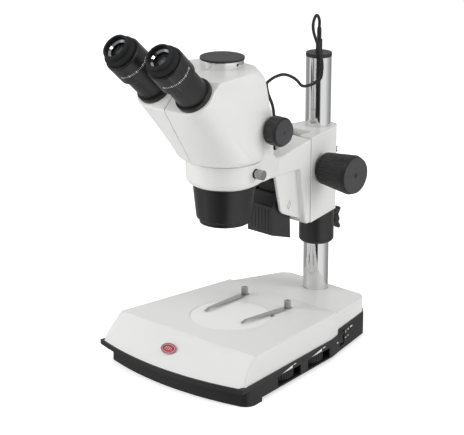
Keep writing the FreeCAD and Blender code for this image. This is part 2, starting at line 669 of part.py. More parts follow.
def lamp_bracket():
    """Fork under the arm that carries the lamp's tilt pin."""
    y, z = LAMP_PIVOT
    ear = fuse(box(14, 18, y - 6, y + 6, z, BAND_Z), rod(6, (14, y, z), X, 4))
    web = box(-18, 18, y - 6, y + 6, BAND_Z - 3, BAND_Z)
    body = fuse(ear, flip(ear), web)
    return body.cut(rod(2.5 + RUN, (-20, y, z), X, 40)).cut(rod(2.2, (0, 48, 200), Z, 60))


def lamp_housing():
    """Black lamp body with a finned back, hanging between the arm's cheeks."""
    y0, y1 = LAMP_Y
    py, pz = LAMP_PIVOT
    profile = [(y0, LAMP_Z[1]), (y1, LAMP_Z[0]), (y1 - 2, 187), (y1 - 8, 203), (y0 + 9, 203), (y0, 188)]
    body = slab_x(profile, -LAMP_HALF, LAMP_HALF)
    neck = fuse(slab_x([(py - 5, 200), (py + 5, 200), (py + 5, pz), (py - 5, pz)], -13.5, 13.5),
                rod(5, (-13.5, py, pz), X, 27))
    pin = rod(2.5, (-17.5, py, pz), X, 35)
    fins = [box(-16, 16, y1 - 3, y1 + 2, z, z + 2) for z in (155, 160, 165, 170, 175, 180)]
    body = fuse(body, neck, pin).cut(fins)
    body = body.cut(box(-LAMP_HALF + 3, LAMP_HALF - 3, y0 - 1, y0 + 2, 190, 200))
    return body.cut(lamp_bore(14.0, -5.0, 25.0))


def lamp_bore(r, inset, depth):
    """Cylinder square to the sloping underside of the lamp, starting inset inside it."""
    y0, y1 = LAMP_Y
    middle = V(0, (y0 + y1) / 2, (LAMP_Z[0] + LAMP_Z[1]) / 2)
    slope = V(0, LAMP_Z[1] - LAMP_Z[0], y1 - y0).normalize()
    return rod(r, middle + slope * inset, slope, depth)


def lamp_lens():
    """LED engine of the lamp with its front lens."""
    return lamp_bore(13.9, 2.0, 9.0)


# ---- head ---------------------------------------------------------------------
def tube_lobe(grow):
    """Front body of the head: from the oblong eyepiece face down to the round neck."""
    r = BOSS_R + grow
    middle = V(0, EYE_BASE[1], EYE_BASE[2]) + FACE_NORMAL * grow
    up = V(0, 1, 1).normalize()
    a = EYE_BASE[0]
    corner = [middle + up * r + X * a, middle - up * r + X * a,
              middle - up * r - X * a, middle + up * r - X * a]
    right = middle + X * (a + r)
    left = middle - X * (a + r)
    edges = [Part.Arc(corner[0], right, corner[1]).toShape(), Part.makeLine(corner[1], corner[2]),
             Part.Arc(corner[2], left, corner[3]).toShape(), Part.makeLine(corner[3], corner[0])]
    top = Part.Wire(edges)
    rb = RING_R + grow
    low_z = COVER_Z
    q = 0.66
    spots = [V(rb * q, HEAD_Y + rb * math.sqrt(1 - q * q), low_z),
             V(rb * q, HEAD_Y - NOSE - rb * math.sqrt(1 - q * q), low_z),
             V(-rb * q, HEAD_Y - NOSE - rb * math.sqrt(1 - q * q), low_z),
             V(-rb * q, HEAD_Y + rb * math.sqrt(1 - q * q), low_z)]
    low = Part.Wire([Part.Arc(spots[0], V(rb, HEAD_Y, low_z), spots[1]).toShape(),
                     Part.Arc(spots[1], V(0, HEAD_Y - NOSE - rb, low_z), spots[2]).toShape(),
                     Part.Arc(spots[2], V(-rb, HEAD_Y, low_z), spots[3]).toShape(),
                     Part.Arc(spots[3], V(0, HEAD_Y + rb, low_z), spots[0]).toShape()])
    return Part.makeLoft([low, top], True, True)


def head_section(z, front, mid, corner, rear, grow):
    """Plan section of the zoom body: four points a side, from front to rear."""
    pts = [(front[0] + grow, front[1] - grow), (mid[0] + grow, mid[1]),
           (corner[0] + grow, corner[1] + grow / 2), (rear[0], rear[1] + grow)]
    corners = [V(x, y, z) for x, y in mirrored(pts)]
    return Part.makePolygon(corners + corners[:1])


def zoom_lobe(grow):
    """Rear body of the head: zoom housing below, wider prism housing above."""
    low = [head_section(COVER_Z, (40, -66), (45.5, -41), (41, 2), (24, 10), grow),
           head_section(318, (44, -96), (45.5, -41), (43, -4), (24, 7), grow)]
    high = [head_section(324, (47, -100), (48.5, -46), (45, -10), (26, 6), grow),
            head_section(362, (54, -118), (51.5, -46), (46, -20), (26, -4), grow),
            head_section(TOP_Z + grow, (57, -118), (51, -46), (44, -32), (24, -15), grow)]
    body = fuse(Part.makeLoft(low, True, True), Part.makeLoft([low[1], high[0]], True, True),
                Part.makeLoft(high[:2], True, True), Part.makeLoft(high[1:], True, True))
    face = FACE_SUM + grow * math.sqrt(2)
    beyond = slab_x([(260 - face, 260), (-300, 260), (-300, 460), (460 - face, 460)], -150, 150)
    return body.cut(beyond)


def head_body(grow):
    return fuse(tube_lobe(grow), zoom_lobe(grow))


def head_cover(sign):
    """Moulded half shell; the two halves meet in the middle plane."""
    shell = head_body(0).cut(head_body(-WALL))
    shell = shell.cut(rod(RING_R - WALL, (0, HEAD_Y, COVER_Z - 1), Z, WALL + 3))
    for side in (-1, 1):
        shell = shell.cut(rod(17.0, eye_base(side) - FACE_NORMAL * 8, FACE_NORMAL, 16))
    shell = shell.cut(rod(20.0, (0, PORT_Y, TOP_Z - 10), Z, 20))
    shell = shell.cut(rod(7.0, (-80, ZOOM_Y, ZOOM_Z), X, 160))
    seam = 0.05
    half = box(seam, 150, -250, 100, 200, 500) if sign > 0 else box(-150, -seam, -250, 100, 200, 500)
    solids = shell.common(half).Solids
    return max(solids, key=lambda s: s.Volume)


def optical_frame():
    """Aluminium frame: neck for the ring, floor, two guide posts, bridge and prism deck."""
    z0 = SHROUD_Z[1]
    neck = turned([(32, z0), (MOUNT_R, z0), (MOUNT_R, 264), (41, 264), (41, 270), (32, 270)],
                  (0, HEAD_Y, 0), Z)
    back = box(-30, 30, HEAD_Y + 19.5, HEAD_Y + 23, 266, 338)
    lugs = [box(sx * 24 - 2, sx * 24 + 2, HEAD_Y + 22, ZOOM_Y + 7, ZOOM_Z - 7, ZOOM_Z + 7)
            for sx in (-1, 1)]
    posts = [rod(3.0, (sx * 25, HEAD_Y + 12, 266), Z, 72) for sx in (-1, 1)]
    deck = slab_x([(-110, 334), (-12, 334), (-12, 338), (-110, 338)], -38, 38)
    for sx in (-1, 1):
        deck = deck.cut(rod(9, (sx * 14, HEAD_Y, 330), Z, 12))
    stand = box(-20, 20, -30, -14, 338, 345)
    port_tube = ring(19.0, 16.0, (0, PORT_Y, 345), Z, TOP_Z - 345)
    feet = [box(sx * 17.5 - 1.5, sx * 17.5 + 1.5, PORT_Y - 8, PORT_Y + 8, 338, 346) for sx in (-1, 1)]
    body = fuse(neck, back, *lugs, *posts, deck, stand, port_tube, *feet)
    return body.cut(rod(ZOOM_SHAFT_R + RUN, (-60, ZOOM_Y, ZOOM_Z), X, 120))


def objective_shroud():
    """Tapered black cover round the objectives, with a plain ring at its foot."""
    z0, z1 = SHROUD_Z
    profile = [(30.0, z0), (30.0, z0 + 4), (30.6, z0 + 4.8), (33.4, z0 + 6.4), (33.8, z0 + 8),
               (MOUNT_R, z1), (32.0, z1), (28.4, z0 + 8), (24.0, z0 + 6), (24.0, z0)]
    return turned(profile, (0, HEAD_Y, 0), Z)


def objective_lenses():
    """Two objective barrels whose axes converge on the specimen."""
    barrels = []
    for sign in (-1, 1):
        lean = V(sign * math.sin(math.radians(6)), 0, math.cos(math.radians(6)))
        start = (sign * 11.5, HEAD_Y, 190)
        barrels.append(rod(9.5, start, lean, 44))
    bar = box(-33, 33, HEAD_Y - 6, HEAD_Y + 6, 234, 238).common(rod(32, (0, HEAD_Y, 230), Z, 10))
    return fuse(*barrels, bar)


def prism_blocks():
    """Two erecting prisms on the deck, and the beam splitter under the port."""
    blocks = []
    for sign in (-1, 1):
        x0, x1 = sorted((sign * 9, sign * 33))
        blocks.append(slab_x([(-108, 338), (-72, 338), (-72, 350), (-84, 358), (-98, 353)], x0, x1))
    blocks.append(box(-12, 12, -56, -34, 338, 344.8))
    return group(*blocks)


def zoom_shaft():
    """Cross shaft with the cam drum of the zoom."""
    shaft = rod(ZOOM_SHAFT_R, (-ZOOM_X[1] + 6, ZOOM_Y, ZOOM_Z), X, 2 * ZOOM_X[1] - 12)
    drum = rod(8.0, (-20, ZOOM_Y, ZOOM_Z), X, 40)
    return fuse(shaft, drum.cut(rod(8.1, (-3, ZOOM_Y, ZOOM_Z), X, 6)),
                rod(5.0, (-3, ZOOM_Y, ZOOM_Z), X, 6))


def zoom_knob(sign):
    """Zoom knob: shallow scallops round the rim and a slightly domed face."""
    near, far = ZOOM_X
    blank = turned([(0, 0), (ZOOM_R - 1.5, 0), (ZOOM_R, 2), (ZOOM_R, far - near - 3),
                    (ZOOM_R - 2.5, far - near - 0.6), (0, far - near)], (near, ZOOM_Y, ZOOM_Z), X)
    scallops = []
    for i in range(12):
        angle = 2 * math.pi * i / 12
        cy = ZOOM_Y + (ZOOM_R + 5.2) * math.cos(angle)
        cz = ZOOM_Z + (ZOOM_R + 5.2) * math.sin(angle)
        scallops.append(rod(6.0, (near - 1, cy, cz), X, far - near - 4))
    bore = rod(ZOOM_SHAFT_R, (near - 1, ZOOM_Y, ZOOM_Z), X, far - near - 5)
    knob = blank.cut(scallops + [bore])
    return knob if sign > 0 else flip(knob)


def zoom_carrier(z):
    """Lens carrier: rides on the two guide posts and holds a lens pair."""
    plate = box(-30, 30, HEAD_Y - 13, HEAD_Y + 17, z - 3, z + 3)
    for sx in (-1, 1):
        plate = plate.cut(rod(3.0 + RUN, (sx * 25, HEAD_Y + 12, z - 10), Z, 20))
    barrels = [rod(8.5, (sx * 11, HEAD_Y, z - 6), Z, 12) for sx in (-1, 1)]
    return fuse(plate, *barrels)


def port_ring():
    """Bright ring of the photo port, with a set-screw hole."""
    body = ring(PORT_R - 0.1, 19.0 + 0.1, (0, PORT_Y, TOP_Z), Z, PORT_RING_H)
    return body.cut(rod(1.5, (0, PORT_Y, TOP_Z + 5.5), V(1.0, -0.05, 0), 40))


def port_cap():
    """Lift-off dust cap of the photo port."""
    z0 = TOP_Z + PORT_RING_H
    return fuse(rod(PORT_R + 0.4, (0, PORT_Y, z0), Z, 2.4),
                rod(19.0, (0, PORT_Y, TOP_Z + 1.0), Z, PORT_RING_H - 0.8))


# ---- eyepieces ----------------------------------------------------------------
def at_eye(sign, profile):
    """Turned piece on an eyepiece axis; distances count from the eyecup's rim to the head."""
    rim = eye_base(sign) + eye_axis(sign) * EYE_LEN
    return turned(profile, rim, eye_axis(sign) * -1)


def eye_tube(sign):
    """Black tube with its round foot, which turns on the eyepiece face."""
    tube = at_eye(sign, [(0, 22), (15.0, 22), (15.0, 45.9), (19.2, 46.1), (19.2, EYE_LEN - 2),
                         (0, EYE_LEN - 2)])
    start = eye_base(sign) + FACE_NORMAL * 0.05
    foot = turned([(0, 0), (22.6, 0), (22.6, 4.6), (21.6, 5.6), (0, 5.6)], start, FACE_NORMAL)
    spigot = rod(11.5, start - FACE_NORMAL * 5, FACE_NORMAL, 5.5)
    bore = at_eye(sign, [(0, 20), (12.0, 20), (12.0, EYE_LEN - 8), (9.5, EYE_LEN - 8),
                         (9.5, EYE_LEN + 8), (0, EYE_LEN + 8)])
    return fuse(tube, foot, spigot).cut(bore)


def diopter_ring(sign):
    """Wide focusing ring of an eyepiece."""
    r_in = 15.0 + RUN
    return at_eye(sign, [(r_in, 14.4), (21.0, 14.4), (22.4, 16.2), (22.4, 44.4), (21.6, 45.4),
                         (21.0, 45.7), (r_in, 45.7)])


def eyecup(sign):
    """Rubber eyecup: rim, groove and shoulder."""
    return at_eye(sign, [(13.4, 0.6), (14.4, 0.0), (15.8, 0.5), (16.5, 1.8), (16.4, 4.8), (15.4, 5.8),
                         (15.4, 7.0), (18.8, 8.2), (19.8, 9.4), (19.8, 12.8), (19.0, 14.3),
                         (13.2, 14.3), (13.2, 9.0), (13.3, 5.0)])


def eye_lens(sign):
    """Top lens of an eyepiece, with its retaining ring."""
    return at_eye(sign, [(0, 8.4), (5, 9.1), (9, 10.8), (11.4, 12.8), (11.6, 11.0), (13.1, 11.0),
                         (13.1, 16.0), (0, 16.0)])


# ---- every node of the part ---------------------------------------------------
NODES = {
    "base_cover": base_cover, "base_tray": base_tray, "bottom_plate": bottom_plate,
    "rubber_feet": rubber_feet, "base_screws": base_screws, "badge": badge,
    "stage_plate": stage_plate, "stage_light": stage_light, "control_board": control_board,
    "dial_front": lambda: dial(DIAL_Y[0]), "dial_rear": lambda: dial(DIAL_Y[1]),
    "power_rocker": power_rocker, "power_inlet": power_inlet, "clip_screws": clip_screws,
    "stage_clip_left": lambda: stage_clip(-1), "stage_clip_right": lambda: stage_clip(1),
    "pole": pole, "pole_socket": pole_socket, "pole_cap": pole_cap, "cable_plug": cable_plug,
    "cable_loop": cable_loop, "cable_drop": cable_drop, "stop_collar": stop_collar,
    "collar_knob": collar_knob, "focus_block": focus_block, "block_knob": block_knob,
    "shaft_bushes": shaft_bushes, "block_rails": block_rails, "slide_carriage": slide_carriage,
    "focus_rack": focus_rack, "pinion_gear": pinion_gear, "focus_shaft": focus_shaft,
    "focus_knob_left": lambda: focus_knob(-1), "focus_knob_right": lambda: focus_knob(1),
    "arm": arm, "head_lock_screw": head_lock_screw, "lamp_bracket": lamp_bracket,
    "lamp_housing": lamp_housing, "lamp_lens": lamp_lens,
    "head_cover_left": lambda: head_cover(-1), "head_cover_right": lambda: head_cover(1),
    "optical_frame": optical_frame, "objective_shroud": objective_shroud,
    "objective_lenses": objective_lenses, "prism_blocks": prism_blocks,
    "zoom_shaft": zoom_shaft, "zoom_knob_left": lambda: zoom_knob(-1),
    "zoom_knob_right": lambda: zoom_knob(1), "zoom_carrier_upper": lambda: zoom_carrier(318.0),
    "zoom_carrier_lower": lambda: zoom_carrier(284.0), "port_ring": port_ring, "port_cap": port_cap,
    "eye_tube_left": lambda: eye_tube(-1), "eye_tube_right": lambda: eye_tube(1),
    "diopter_ring_left": lambda: diopter_ring(-1), "diopter_ring_right": lambda: diopter_ring(1),
    "eyecup_left": lambda: eyecup(-1), "eyecup_right": lambda: eyecup(1),
    "eye_lens_left": lambda: eye_lens(-1), "eye_lens_right": lambda: eye_lens(1),
}

os.makedirs("parts", exist_ok=True)
for name, make in NODES.items():
    shape = make()
    shape.translate(V(0, FRAME_SHIFT, 0))
    shape.exportStep("parts/" + name + ".step")
    print(name, len(shape.Solids), shape.isValid(), round(shape.Volume / 1000, 1))
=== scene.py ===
"""Looks of the stereo microscope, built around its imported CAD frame. Units are metres."""
import json
import math

import bmesh
import bpy
from mathutils import Matrix, Vector
from mathutils.bvhtree import BVHTree


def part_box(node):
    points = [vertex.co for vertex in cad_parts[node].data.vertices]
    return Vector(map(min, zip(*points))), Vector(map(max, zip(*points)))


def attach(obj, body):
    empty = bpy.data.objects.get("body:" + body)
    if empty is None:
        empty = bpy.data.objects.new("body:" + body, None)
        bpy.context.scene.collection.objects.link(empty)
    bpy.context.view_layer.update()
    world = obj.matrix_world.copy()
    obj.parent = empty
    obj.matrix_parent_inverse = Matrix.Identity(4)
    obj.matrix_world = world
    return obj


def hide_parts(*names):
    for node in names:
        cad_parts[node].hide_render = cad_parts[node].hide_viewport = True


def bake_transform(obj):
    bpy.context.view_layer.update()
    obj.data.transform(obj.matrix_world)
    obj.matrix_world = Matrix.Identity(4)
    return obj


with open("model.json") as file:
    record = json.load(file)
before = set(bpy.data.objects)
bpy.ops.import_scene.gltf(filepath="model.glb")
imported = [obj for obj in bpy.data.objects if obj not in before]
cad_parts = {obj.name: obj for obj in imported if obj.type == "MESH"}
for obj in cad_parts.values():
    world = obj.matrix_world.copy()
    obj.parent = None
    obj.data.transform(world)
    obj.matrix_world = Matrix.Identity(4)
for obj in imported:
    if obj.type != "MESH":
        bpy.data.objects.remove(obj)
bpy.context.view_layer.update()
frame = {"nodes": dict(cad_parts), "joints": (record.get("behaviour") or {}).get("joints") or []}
NODES = frame["nodes"]
JOINTS = {j["name"]: j for j in frame["joints"]}
MM = 0.001


# ---- materials ----------------------------------------------------------------
def new_material(name):
    """New node material with its node list, links and main shader."""
    mat = bpy.data.materials.new(name)
    mat.use_nodes = True
    nodes, links = mat.node_tree.nodes, mat.node_tree.links
    return mat, nodes, links, nodes["Principled BSDF"]


def finish_of(name, color, rough, metal=0.0, tint=0.04, grain=900.0, bump=0.05, depth=0.00012,
              stretch=(1, 1, 1), coat=0.0, blotch=18.0, wear=0.0, rough_var=0.12):
    """Surface with slow colour variation, fine grain in roughness and bump, and paler worn edges.

    color, rough and metal are the plain finish. tint is the share by which the colour varies and blotch
    the scale of that variation; grain, bump and depth shape the fine texture, and stretch its direction.
    """
    mat, nodes, links, bsdf = new_material(name)
    where = nodes.new("ShaderNodeTexCoord")
    scale = nodes.new("ShaderNodeMapping")
    scale.inputs["Scale"].default_value = stretch
    links.new(where.outputs["Object"], scale.inputs["Vector"])
    slow = nodes.new("ShaderNodeTexNoise")
    slow.inputs["Scale"].default_value = blotch
    slow.inputs["Detail"].default_value = 3.0
    fine = nodes.new("ShaderNodeTexNoise")
    fine.inputs["Scale"].default_value = grain
    fine.inputs["Detail"].default_value = 2.0
    for noise in (slow, fine):
        links.new(scale.outputs["Vector"], noise.inputs["Vector"])
    mix = nodes.new("ShaderNodeMix")
    mix.data_type = "RGBA"
    mix.inputs["A"].default_value = [c * (1 - tint) for c in color] + [1]
    mix.inputs["B"].default_value = [min(1.0, c * (1 + tint)) for c in color] + [1]
    links.new(slow.outputs["Fac"], mix.inputs["Factor"])
    result = mix.outputs["Result"]
    if wear:
        geometry = nodes.new("ShaderNodeNewGeometry")
        edge = nodes.new("ShaderNodeMapRange")
        edge.inputs["From Min"].default_value = 0.52
        edge.inputs["From Max"].default_value = 0.62
        edge.inputs["To Max"].default_value = wear
        links.new(geometry.outputs["Pointiness"], edge.inputs["Value"])
        worn = nodes.new("ShaderNodeMix")
        worn.data_type = "RGBA"
        worn.inputs["B"].default_value = [min(1.0, c * 1.5 + 0.06) for c in color] + [1]
        links.new(edge.outputs["Result"], worn.inputs["Factor"])
        links.new(result, worn.inputs["A"])
        result = worn.outputs["Result"]
    links.new(result, bsdf.inputs["Base Color"])
    vary = nodes.new("ShaderNodeMapRange")
    vary.inputs["To Min"].default_value = max(0.02, rough * (1 - rough_var))
    vary.inputs["To Max"].default_value = min(1.0, rough * (1 + rough_var))
    links.new(fine.outputs["Fac"], vary.inputs["Value"])
    links.new(vary.outputs["Result"], bsdf.inputs["Roughness"])
    bumps = nodes.new("ShaderNodeBump")
    bumps.inputs["Strength"].default_value = bump
    bumps.inputs["Distance"].default_value = depth
    links.new(fine.outputs["Fac"], bumps.inputs["Height"])
    links.new(bumps.outputs["Normal"], bsdf.inputs["Normal"])
    bsdf.inputs["Metallic"].default_value = metal
    bsdf.inputs["Coat Weight"].default_value = coat
    bsdf.inputs["Coat Roughness"].default_value = 0.08
    return mat


def glass_of(name, color, rough=0.02):
    """Coated optical glass: a tinted body under a clear coat, its colour painted paler towards grazing view
    as a painted sheen.
    """
    mat, nodes, links, bsdf = new_material(name)
    # painted sheen: the tint grows paler where the surface is seen edge-on
    grazing_sheen = nodes.new("ShaderNodeLayerWeight")
    grazing_sheen.inputs["Blend"].default_value = 0.35
    ramp = nodes.new("ShaderNodeValToRGB")
    ramp.color_ramp.elements[0].color = [*color, 1]
    ramp.color_ramp.elements[1].color = [c * 2.2 + 0.02 for c in color] + [1]
    links.new(grazing_sheen.outputs["Facing"], ramp.inputs["Fac"])
    links.new(ramp.outputs["Color"], bsdf.inputs["Base Color"])
    bsdf.inputs["Roughness"].default_value = rough
    bsdf.inputs["Coat Weight"].default_value = 1.0
    bsdf.inputs["Coat Roughness"].default_value = 0.01
    bsdf.inputs["Specular IOR Level"].default_value = 0.9
    return mat


WHITE = finish_of("white_enamel", (0.80, 0.80, 0.785), 0.34, tint=0.012, grain=1400, bump=0.05,
                  coat=0.15, blotch=9)
BASE_WHITE = finish_of("base_white", (0.77, 0.77, 0.755), 0.42, tint=0.014, grain=1500, bump=0.10,
                       coat=0.08, blotch=7)
PLATE_WHITE = finish_of("stage_white", (0.86, 0.86, 0.855), 0.30, tint=0.008, grain=900, bump=0.02,
                        coat=0.3, blotch=30)
BLACK = finish_of("black_moulding", (0.016, 0.016, 0.018), 0.46, tint=0.12, grain=1600, bump=0.25,
                  blotch=25, wear=0.25)
TRAY = finish_of("tray_black", (0.016, 0.016, 0.018), 0.50, tint=0.10, grain=1500, bump=0.35,
                 blotch=20, wear=0.15)
SATIN = finish_of("black_satin", (0.016, 0.016, 0.017), 0.36, tint=0.10, grain=1800, bump=0.12,
                  blotch=30, wear=0.3)
KNOB_FACE = finish_of("knob_face", (0.055, 0.055, 0.058), 0.62, tint=0.08, grain=1300, bump=0.5,
                      blotch=30)
RUBBER = finish_of("rubber", (0.013, 0.013, 0.014), 0.72, tint=0.15, grain=1100, bump=0.4, blotch=40)
SCREW = finish_of("screw_chrome", (0.50, 0.50, 0.51), 0.09, metal=1.0)
TURNED = finish_of("turned_black", (0.015, 0.015, 0.016), 0.34, tint=0.10, grain=2600, bump=0.30,
                   stretch=(0.04, 0.04, 1), blotch=30)
CABLE = finish_of("cable_sheath", (0.016, 0.016, 0.017), 0.42, tint=0.1, grain=700, bump=0.1, blotch=60)
CHROME = finish_of("chrome", (0.80, 0.80, 0.81), 0.07, metal=1.0, tint=0.05, grain=70, bump=0.10,
                   depth=0.0006, stretch=(1, 1, 0.12), blotch=50, rough_var=0.5)
STEEL = finish_of("spring_steel", (0.50, 0.50, 0.49), 0.38, metal=0.85, tint=0.06, grain=420, bump=0.12,
                  stretch=(1, 0.15, 1), blotch=40, rough_var=0.3)
ALLOY = finish_of("alloy", (0.62, 0.62, 0.63), 0.36, metal=0.9, tint=0.05, grain=500, bump=0.1, blotch=40)
RING_SILVER = finish_of("ring_silver", (0.88, 0.88, 0.88), 0.13, metal=1.0, tint=0.03, grain=600,
                        bump=0.06, stretch=(1, 1, 0.2), blotch=40)
BRONZE = finish_of("bronze", (0.56, 0.40, 0.18), 0.34, metal=0.95, tint=0.1, grain=500, bump=0.1)
RED = finish_of("red_enamel", (0.42, 0.025, 0.045), 0.30, tint=0.1, grain=600, bump=0.05, coat=0.8)
PCB = finish_of("circuit_board", (0.02, 0.11, 0.05), 0.45, tint=0.2, grain=300, bump=0.2, blotch=80)
MARK = finish_of("white_print", (0.75, 0.75, 0.74), 0.55, tint=0.03, grain=900, bump=0.03)
GREY_PRINT = finish_of("grey_print", (0.10, 0.10, 0.105), 0.55, tint=0.05, grain=900, bump=0.03)
# painted shade: flat black for pieces set where only shade falls, in gaps and pockets
SHADE_BLACK = finish_of("shadow_black", (0.010, 0.010, 0.011), 0.60, tint=0.1, grain=900, bump=0.05)
GLASS = glass_of("lens_glass", (0.012, 0.014, 0.018))
LAMP_GLASS = glass_of("lamp_glass", (0.35, 0.35, 0.30), 0.15)

NODE_MATERIALS = {
    "base_cover": BASE_WHITE, "base_tray": TRAY, "bottom_plate": STEEL, "rubber_feet": RUBBER,
    "base_screws": STEEL, "badge": RED, "stage_plate": PLATE_WHITE, "stage_light": PCB,
    "control_board": PCB, "dial_front": BLACK, "dial_rear": BLACK, "power_rocker": BLACK,
    "power_inlet": BLACK, "clip_screws": SCREW, "stage_clip_left": STEEL, "stage_clip_right": STEEL,
    "pole": CHROME, "pole_socket": ALLOY, "pole_cap": BLACK, "cable_plug": BLACK, "cable_loop": CABLE,
    "cable_drop": CABLE, "stop_collar": SATIN, "collar_knob": BLACK, "focus_block": WHITE,
    "block_knob": BLACK, "shaft_bushes": BRONZE, "block_rails": BLACK, "slide_carriage": BLACK,
    "focus_rack": BRONZE, "pinion_gear": STEEL, "focus_shaft": STEEL, "focus_knob_left": BLACK,
    "focus_knob_right": BLACK, "arm": WHITE, "head_lock_screw": SCREW, "lamp_bracket": SATIN,
    "lamp_housing": BLACK, "lamp_lens": LAMP_GLASS, "head_cover_left": WHITE,
    "head_cover_right": WHITE, "optical_frame": ALLOY, "objective_shroud": TURNED,
    "objective_lenses": SATIN, "prism_blocks": GLASS, "zoom_shaft": STEEL, "zoom_knob_left": BLACK,
    "zoom_knob_right": BLACK, "zoom_carrier_upper": ALLOY, "zoom_carrier_lower": ALLOY,
    "port_ring": RING_SILVER, "port_cap": BLACK, "eye_tube_left": SATIN, "eye_tube_right": SATIN,
    "diopter_ring_left": SATIN, "diopter_ring_right": SATIN, "eyecup_left": RUBBER,
    "eyecup_right": RUBBER, "eye_lens_left": GLASS, "eye_lens_right": GLASS,
}
for node_name, node_material in NODE_MATERIALS.items():
    node_data = NODES[node_name].data
    node_data.materials.clear()
    node_data.materials.append(node_material)


# ---- mesh helpers ---------------------------------------------------------------
def round_edges(node, width, segments=2, angle=28):
    """Small rounded edges on a carried-over CAD node."""
    obj = NODES[node]
    weld = obj.modifiers.new("weld", "WELD")
    weld.merge_threshold = 0.000002
    bevel = obj.modifiers.new("bevel", "BEVEL")
    bevel.width = width
    bevel.segments = segments
    bevel.limit_method = "ANGLE"
    bevel.angle_limit = math.radians(angle)
    bevel.harden_normals = False
    even = obj.modifiers.new("normals", "WEIGHTED_NORMAL")
    even.keep_sharp = True


def add_piece(name, bm, material, body=None, smooth=35, flat=False):
    """Object from a bmesh, in the row frame."""
    data = bpy.data.meshes.new(name)
    bm.to_mesh(data)
    bm.free()
    data.materials.append(material)
    data.shade_smooth()
    data.set_sharp_from_angle(angle=math.radians(smooth))
    obj = bpy.data.objects.new(name, data)
    bpy.context.scene.collection.objects.link(obj)
    if flat:
        even = obj.modifiers.new("normals", "WEIGHTED_NORMAL")
        even.keep_sharp = True
    if body:
        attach(obj, body)
    return obj


def node_mesh(node):
    """Welded bmesh copy of a CAD node, with flat faces merged."""
    bm = bmesh.new()
    bm.from_mesh(NODES[node].data)
    bmesh.ops.remove_doubles(bm, verts=bm.verts, dist=0.000004)
    bmesh.ops.dissolve_limit(bm, angle_limit=math.radians(0.8), verts=bm.verts, edges=bm.edges)
    return bm


def bevel_where(bm, width, segments, test, angle=25, clamp=True):
    """Rounds the edges whose middle passes the test."""
    picked = []
    for edge in bm.edges:
        if len(edge.link_faces) == 2 and edge.calc_face_angle() > math.radians(angle):
            if test(edge, (edge.verts[0].co + edge.verts[1].co) / 2):
                picked.append(edge)
    if picked:
        bmesh.ops.bevel(bm, geom=picked, offset=width, segments=segments, profile=0.5,
                        affect="EDGES", clamp_overlap=clamp)


def lathe(profile, origin, axis, steps=64):
    """Surface of revolution from (radius, distance) points, closed on itself if the ends meet."""
    bm = bmesh.new()
    turn = Vector((0, 0, 1)).rotation_difference(Vector(axis)).to_matrix()
    rings = []
    for r, h in profile:
        if r == 0:
            rings.append([bm.verts.new(Vector(origin) + turn @ Vector((0, 0, h)))])
            continue
        circle = []
        for i in range(steps):
            a = 2 * math.pi * i / steps
            spot = Vector((r * math.cos(a), r * math.sin(a), h))
            circle.append(bm.verts.new(Vector(origin) + turn @ spot))
        rings.append(circle)
    for a, b in zip(rings, rings[1:]):
        for i in range(steps):
            j = (i + 1) % steps
            if len(a) == 1:
                bm.faces.new((a[0], b[j], b[i]))
            elif len(b) == 1:
                bm.faces.new((a[i], a[j], b[0]))
            else:
                bm.faces.new((a[i], a[j], b[j], b[i]))
    bmesh.ops.recalc_face_normals(bm, faces=bm.faces)
    return bm


def tube_along(points, radius, steps=12, spacing=0.0015):
    """Round cable with closed ends along a smooth curve through the points."""
    path = catmull(points, spacing)
    bm = bmesh.new()
    side = None
    rings = []
    for i, p in enumerate(path):
        ahead = path[min(i + 1, len(path) - 1)]
        behind = path[max(i - 1, 0)]
        along = (ahead - behind).normalized()
        if side is None:
            side = along.orthogonal().normalized()
        side = (side - along * side.dot(along)).normalized()
        up = along.cross(side)
        rings.append([bm.verts.new(p + (side * math.cos(a) + up * math.sin(a)) * radius)
                      for a in (2 * math.pi * k / steps for k in range(steps))])
    for a, b in zip(rings, rings[1:]):
        for i in range(steps):
            j = (i + 1) % steps
            bm.faces.new((a[i], a[j], b[j], b[i]))
    bm.faces.new(reversed(rings[0]))
    bm.faces.new(rings[-1])
    bmesh.ops.recalc_face_normals(bm, faces=bm.faces)
    return bm


def catmull(points, spacing):
    """Evenly dense Catmull-Rom curve through the points."""
    pts = [Vector(p) for p in points]
    pts = [pts[0] * 2 - pts[1]] + pts + [pts[-1] * 2 - pts[-2]]
    path = []
    for i in range(1, len(pts) - 2):
        a, b, c, d = pts[i - 1:i + 3]
        steps = max(2, int((c - b).length / spacing))
        for k in range(steps):
            t = k / steps
            path.append(0.5 * (2 * b + (c - a) * t + (2 * a - 5 * b + 4 * c - d) * t * t
                               + (3 * b - a - 3 * c + d) * t ** 3))
    path.append(pts[-2])
    return path


def remeshed(name, bm, voxel, rounds):
    """Closed mesh rebuilt on an even grid and relaxed, which rounds every edge softly."""
    data = bpy.data.meshes.new(name)
    bm.to_mesh(data)
    bm.free()
    obj = bpy.data.objects.new(name, data)
    bpy.context.scene.collection.objects.link(obj)
    grid = obj.modifiers.new("grid", "REMESH")
    grid.mode = "VOXEL"
    grid.voxel_size = voxel
    relax = obj.modifiers.new("relax", "SMOOTH")
    relax.iterations = rounds
    relax.factor = 0.5
    bpy.context.view_layer.update()
    final = obj.evaluated_get(bpy.context.evaluated_depsgraph_get()).to_mesh()
    result = bmesh.new()
    result.from_mesh(final)
    bpy.data.objects.remove(obj)
    return result


def slice_off(bm, point, normal):
    """Cuts a closed mesh with a plane, drops the side the normal points to, and closes it."""
    cut = bmesh.ops.bisect_plane(bm, geom=list(bm.verts) + list(bm.edges) + list(bm.faces), dist=1e-7,
                                 plane_co=Vector(point), plane_no=Vector(normal), clear_outer=True)
    edges = [e for e in cut["geom_cut"] if isinstance(e, bmesh.types.BMEdge) and e.is_boundary]
    bmesh.ops.holes_fill(bm, edges=edges, sides=0)
    return bm


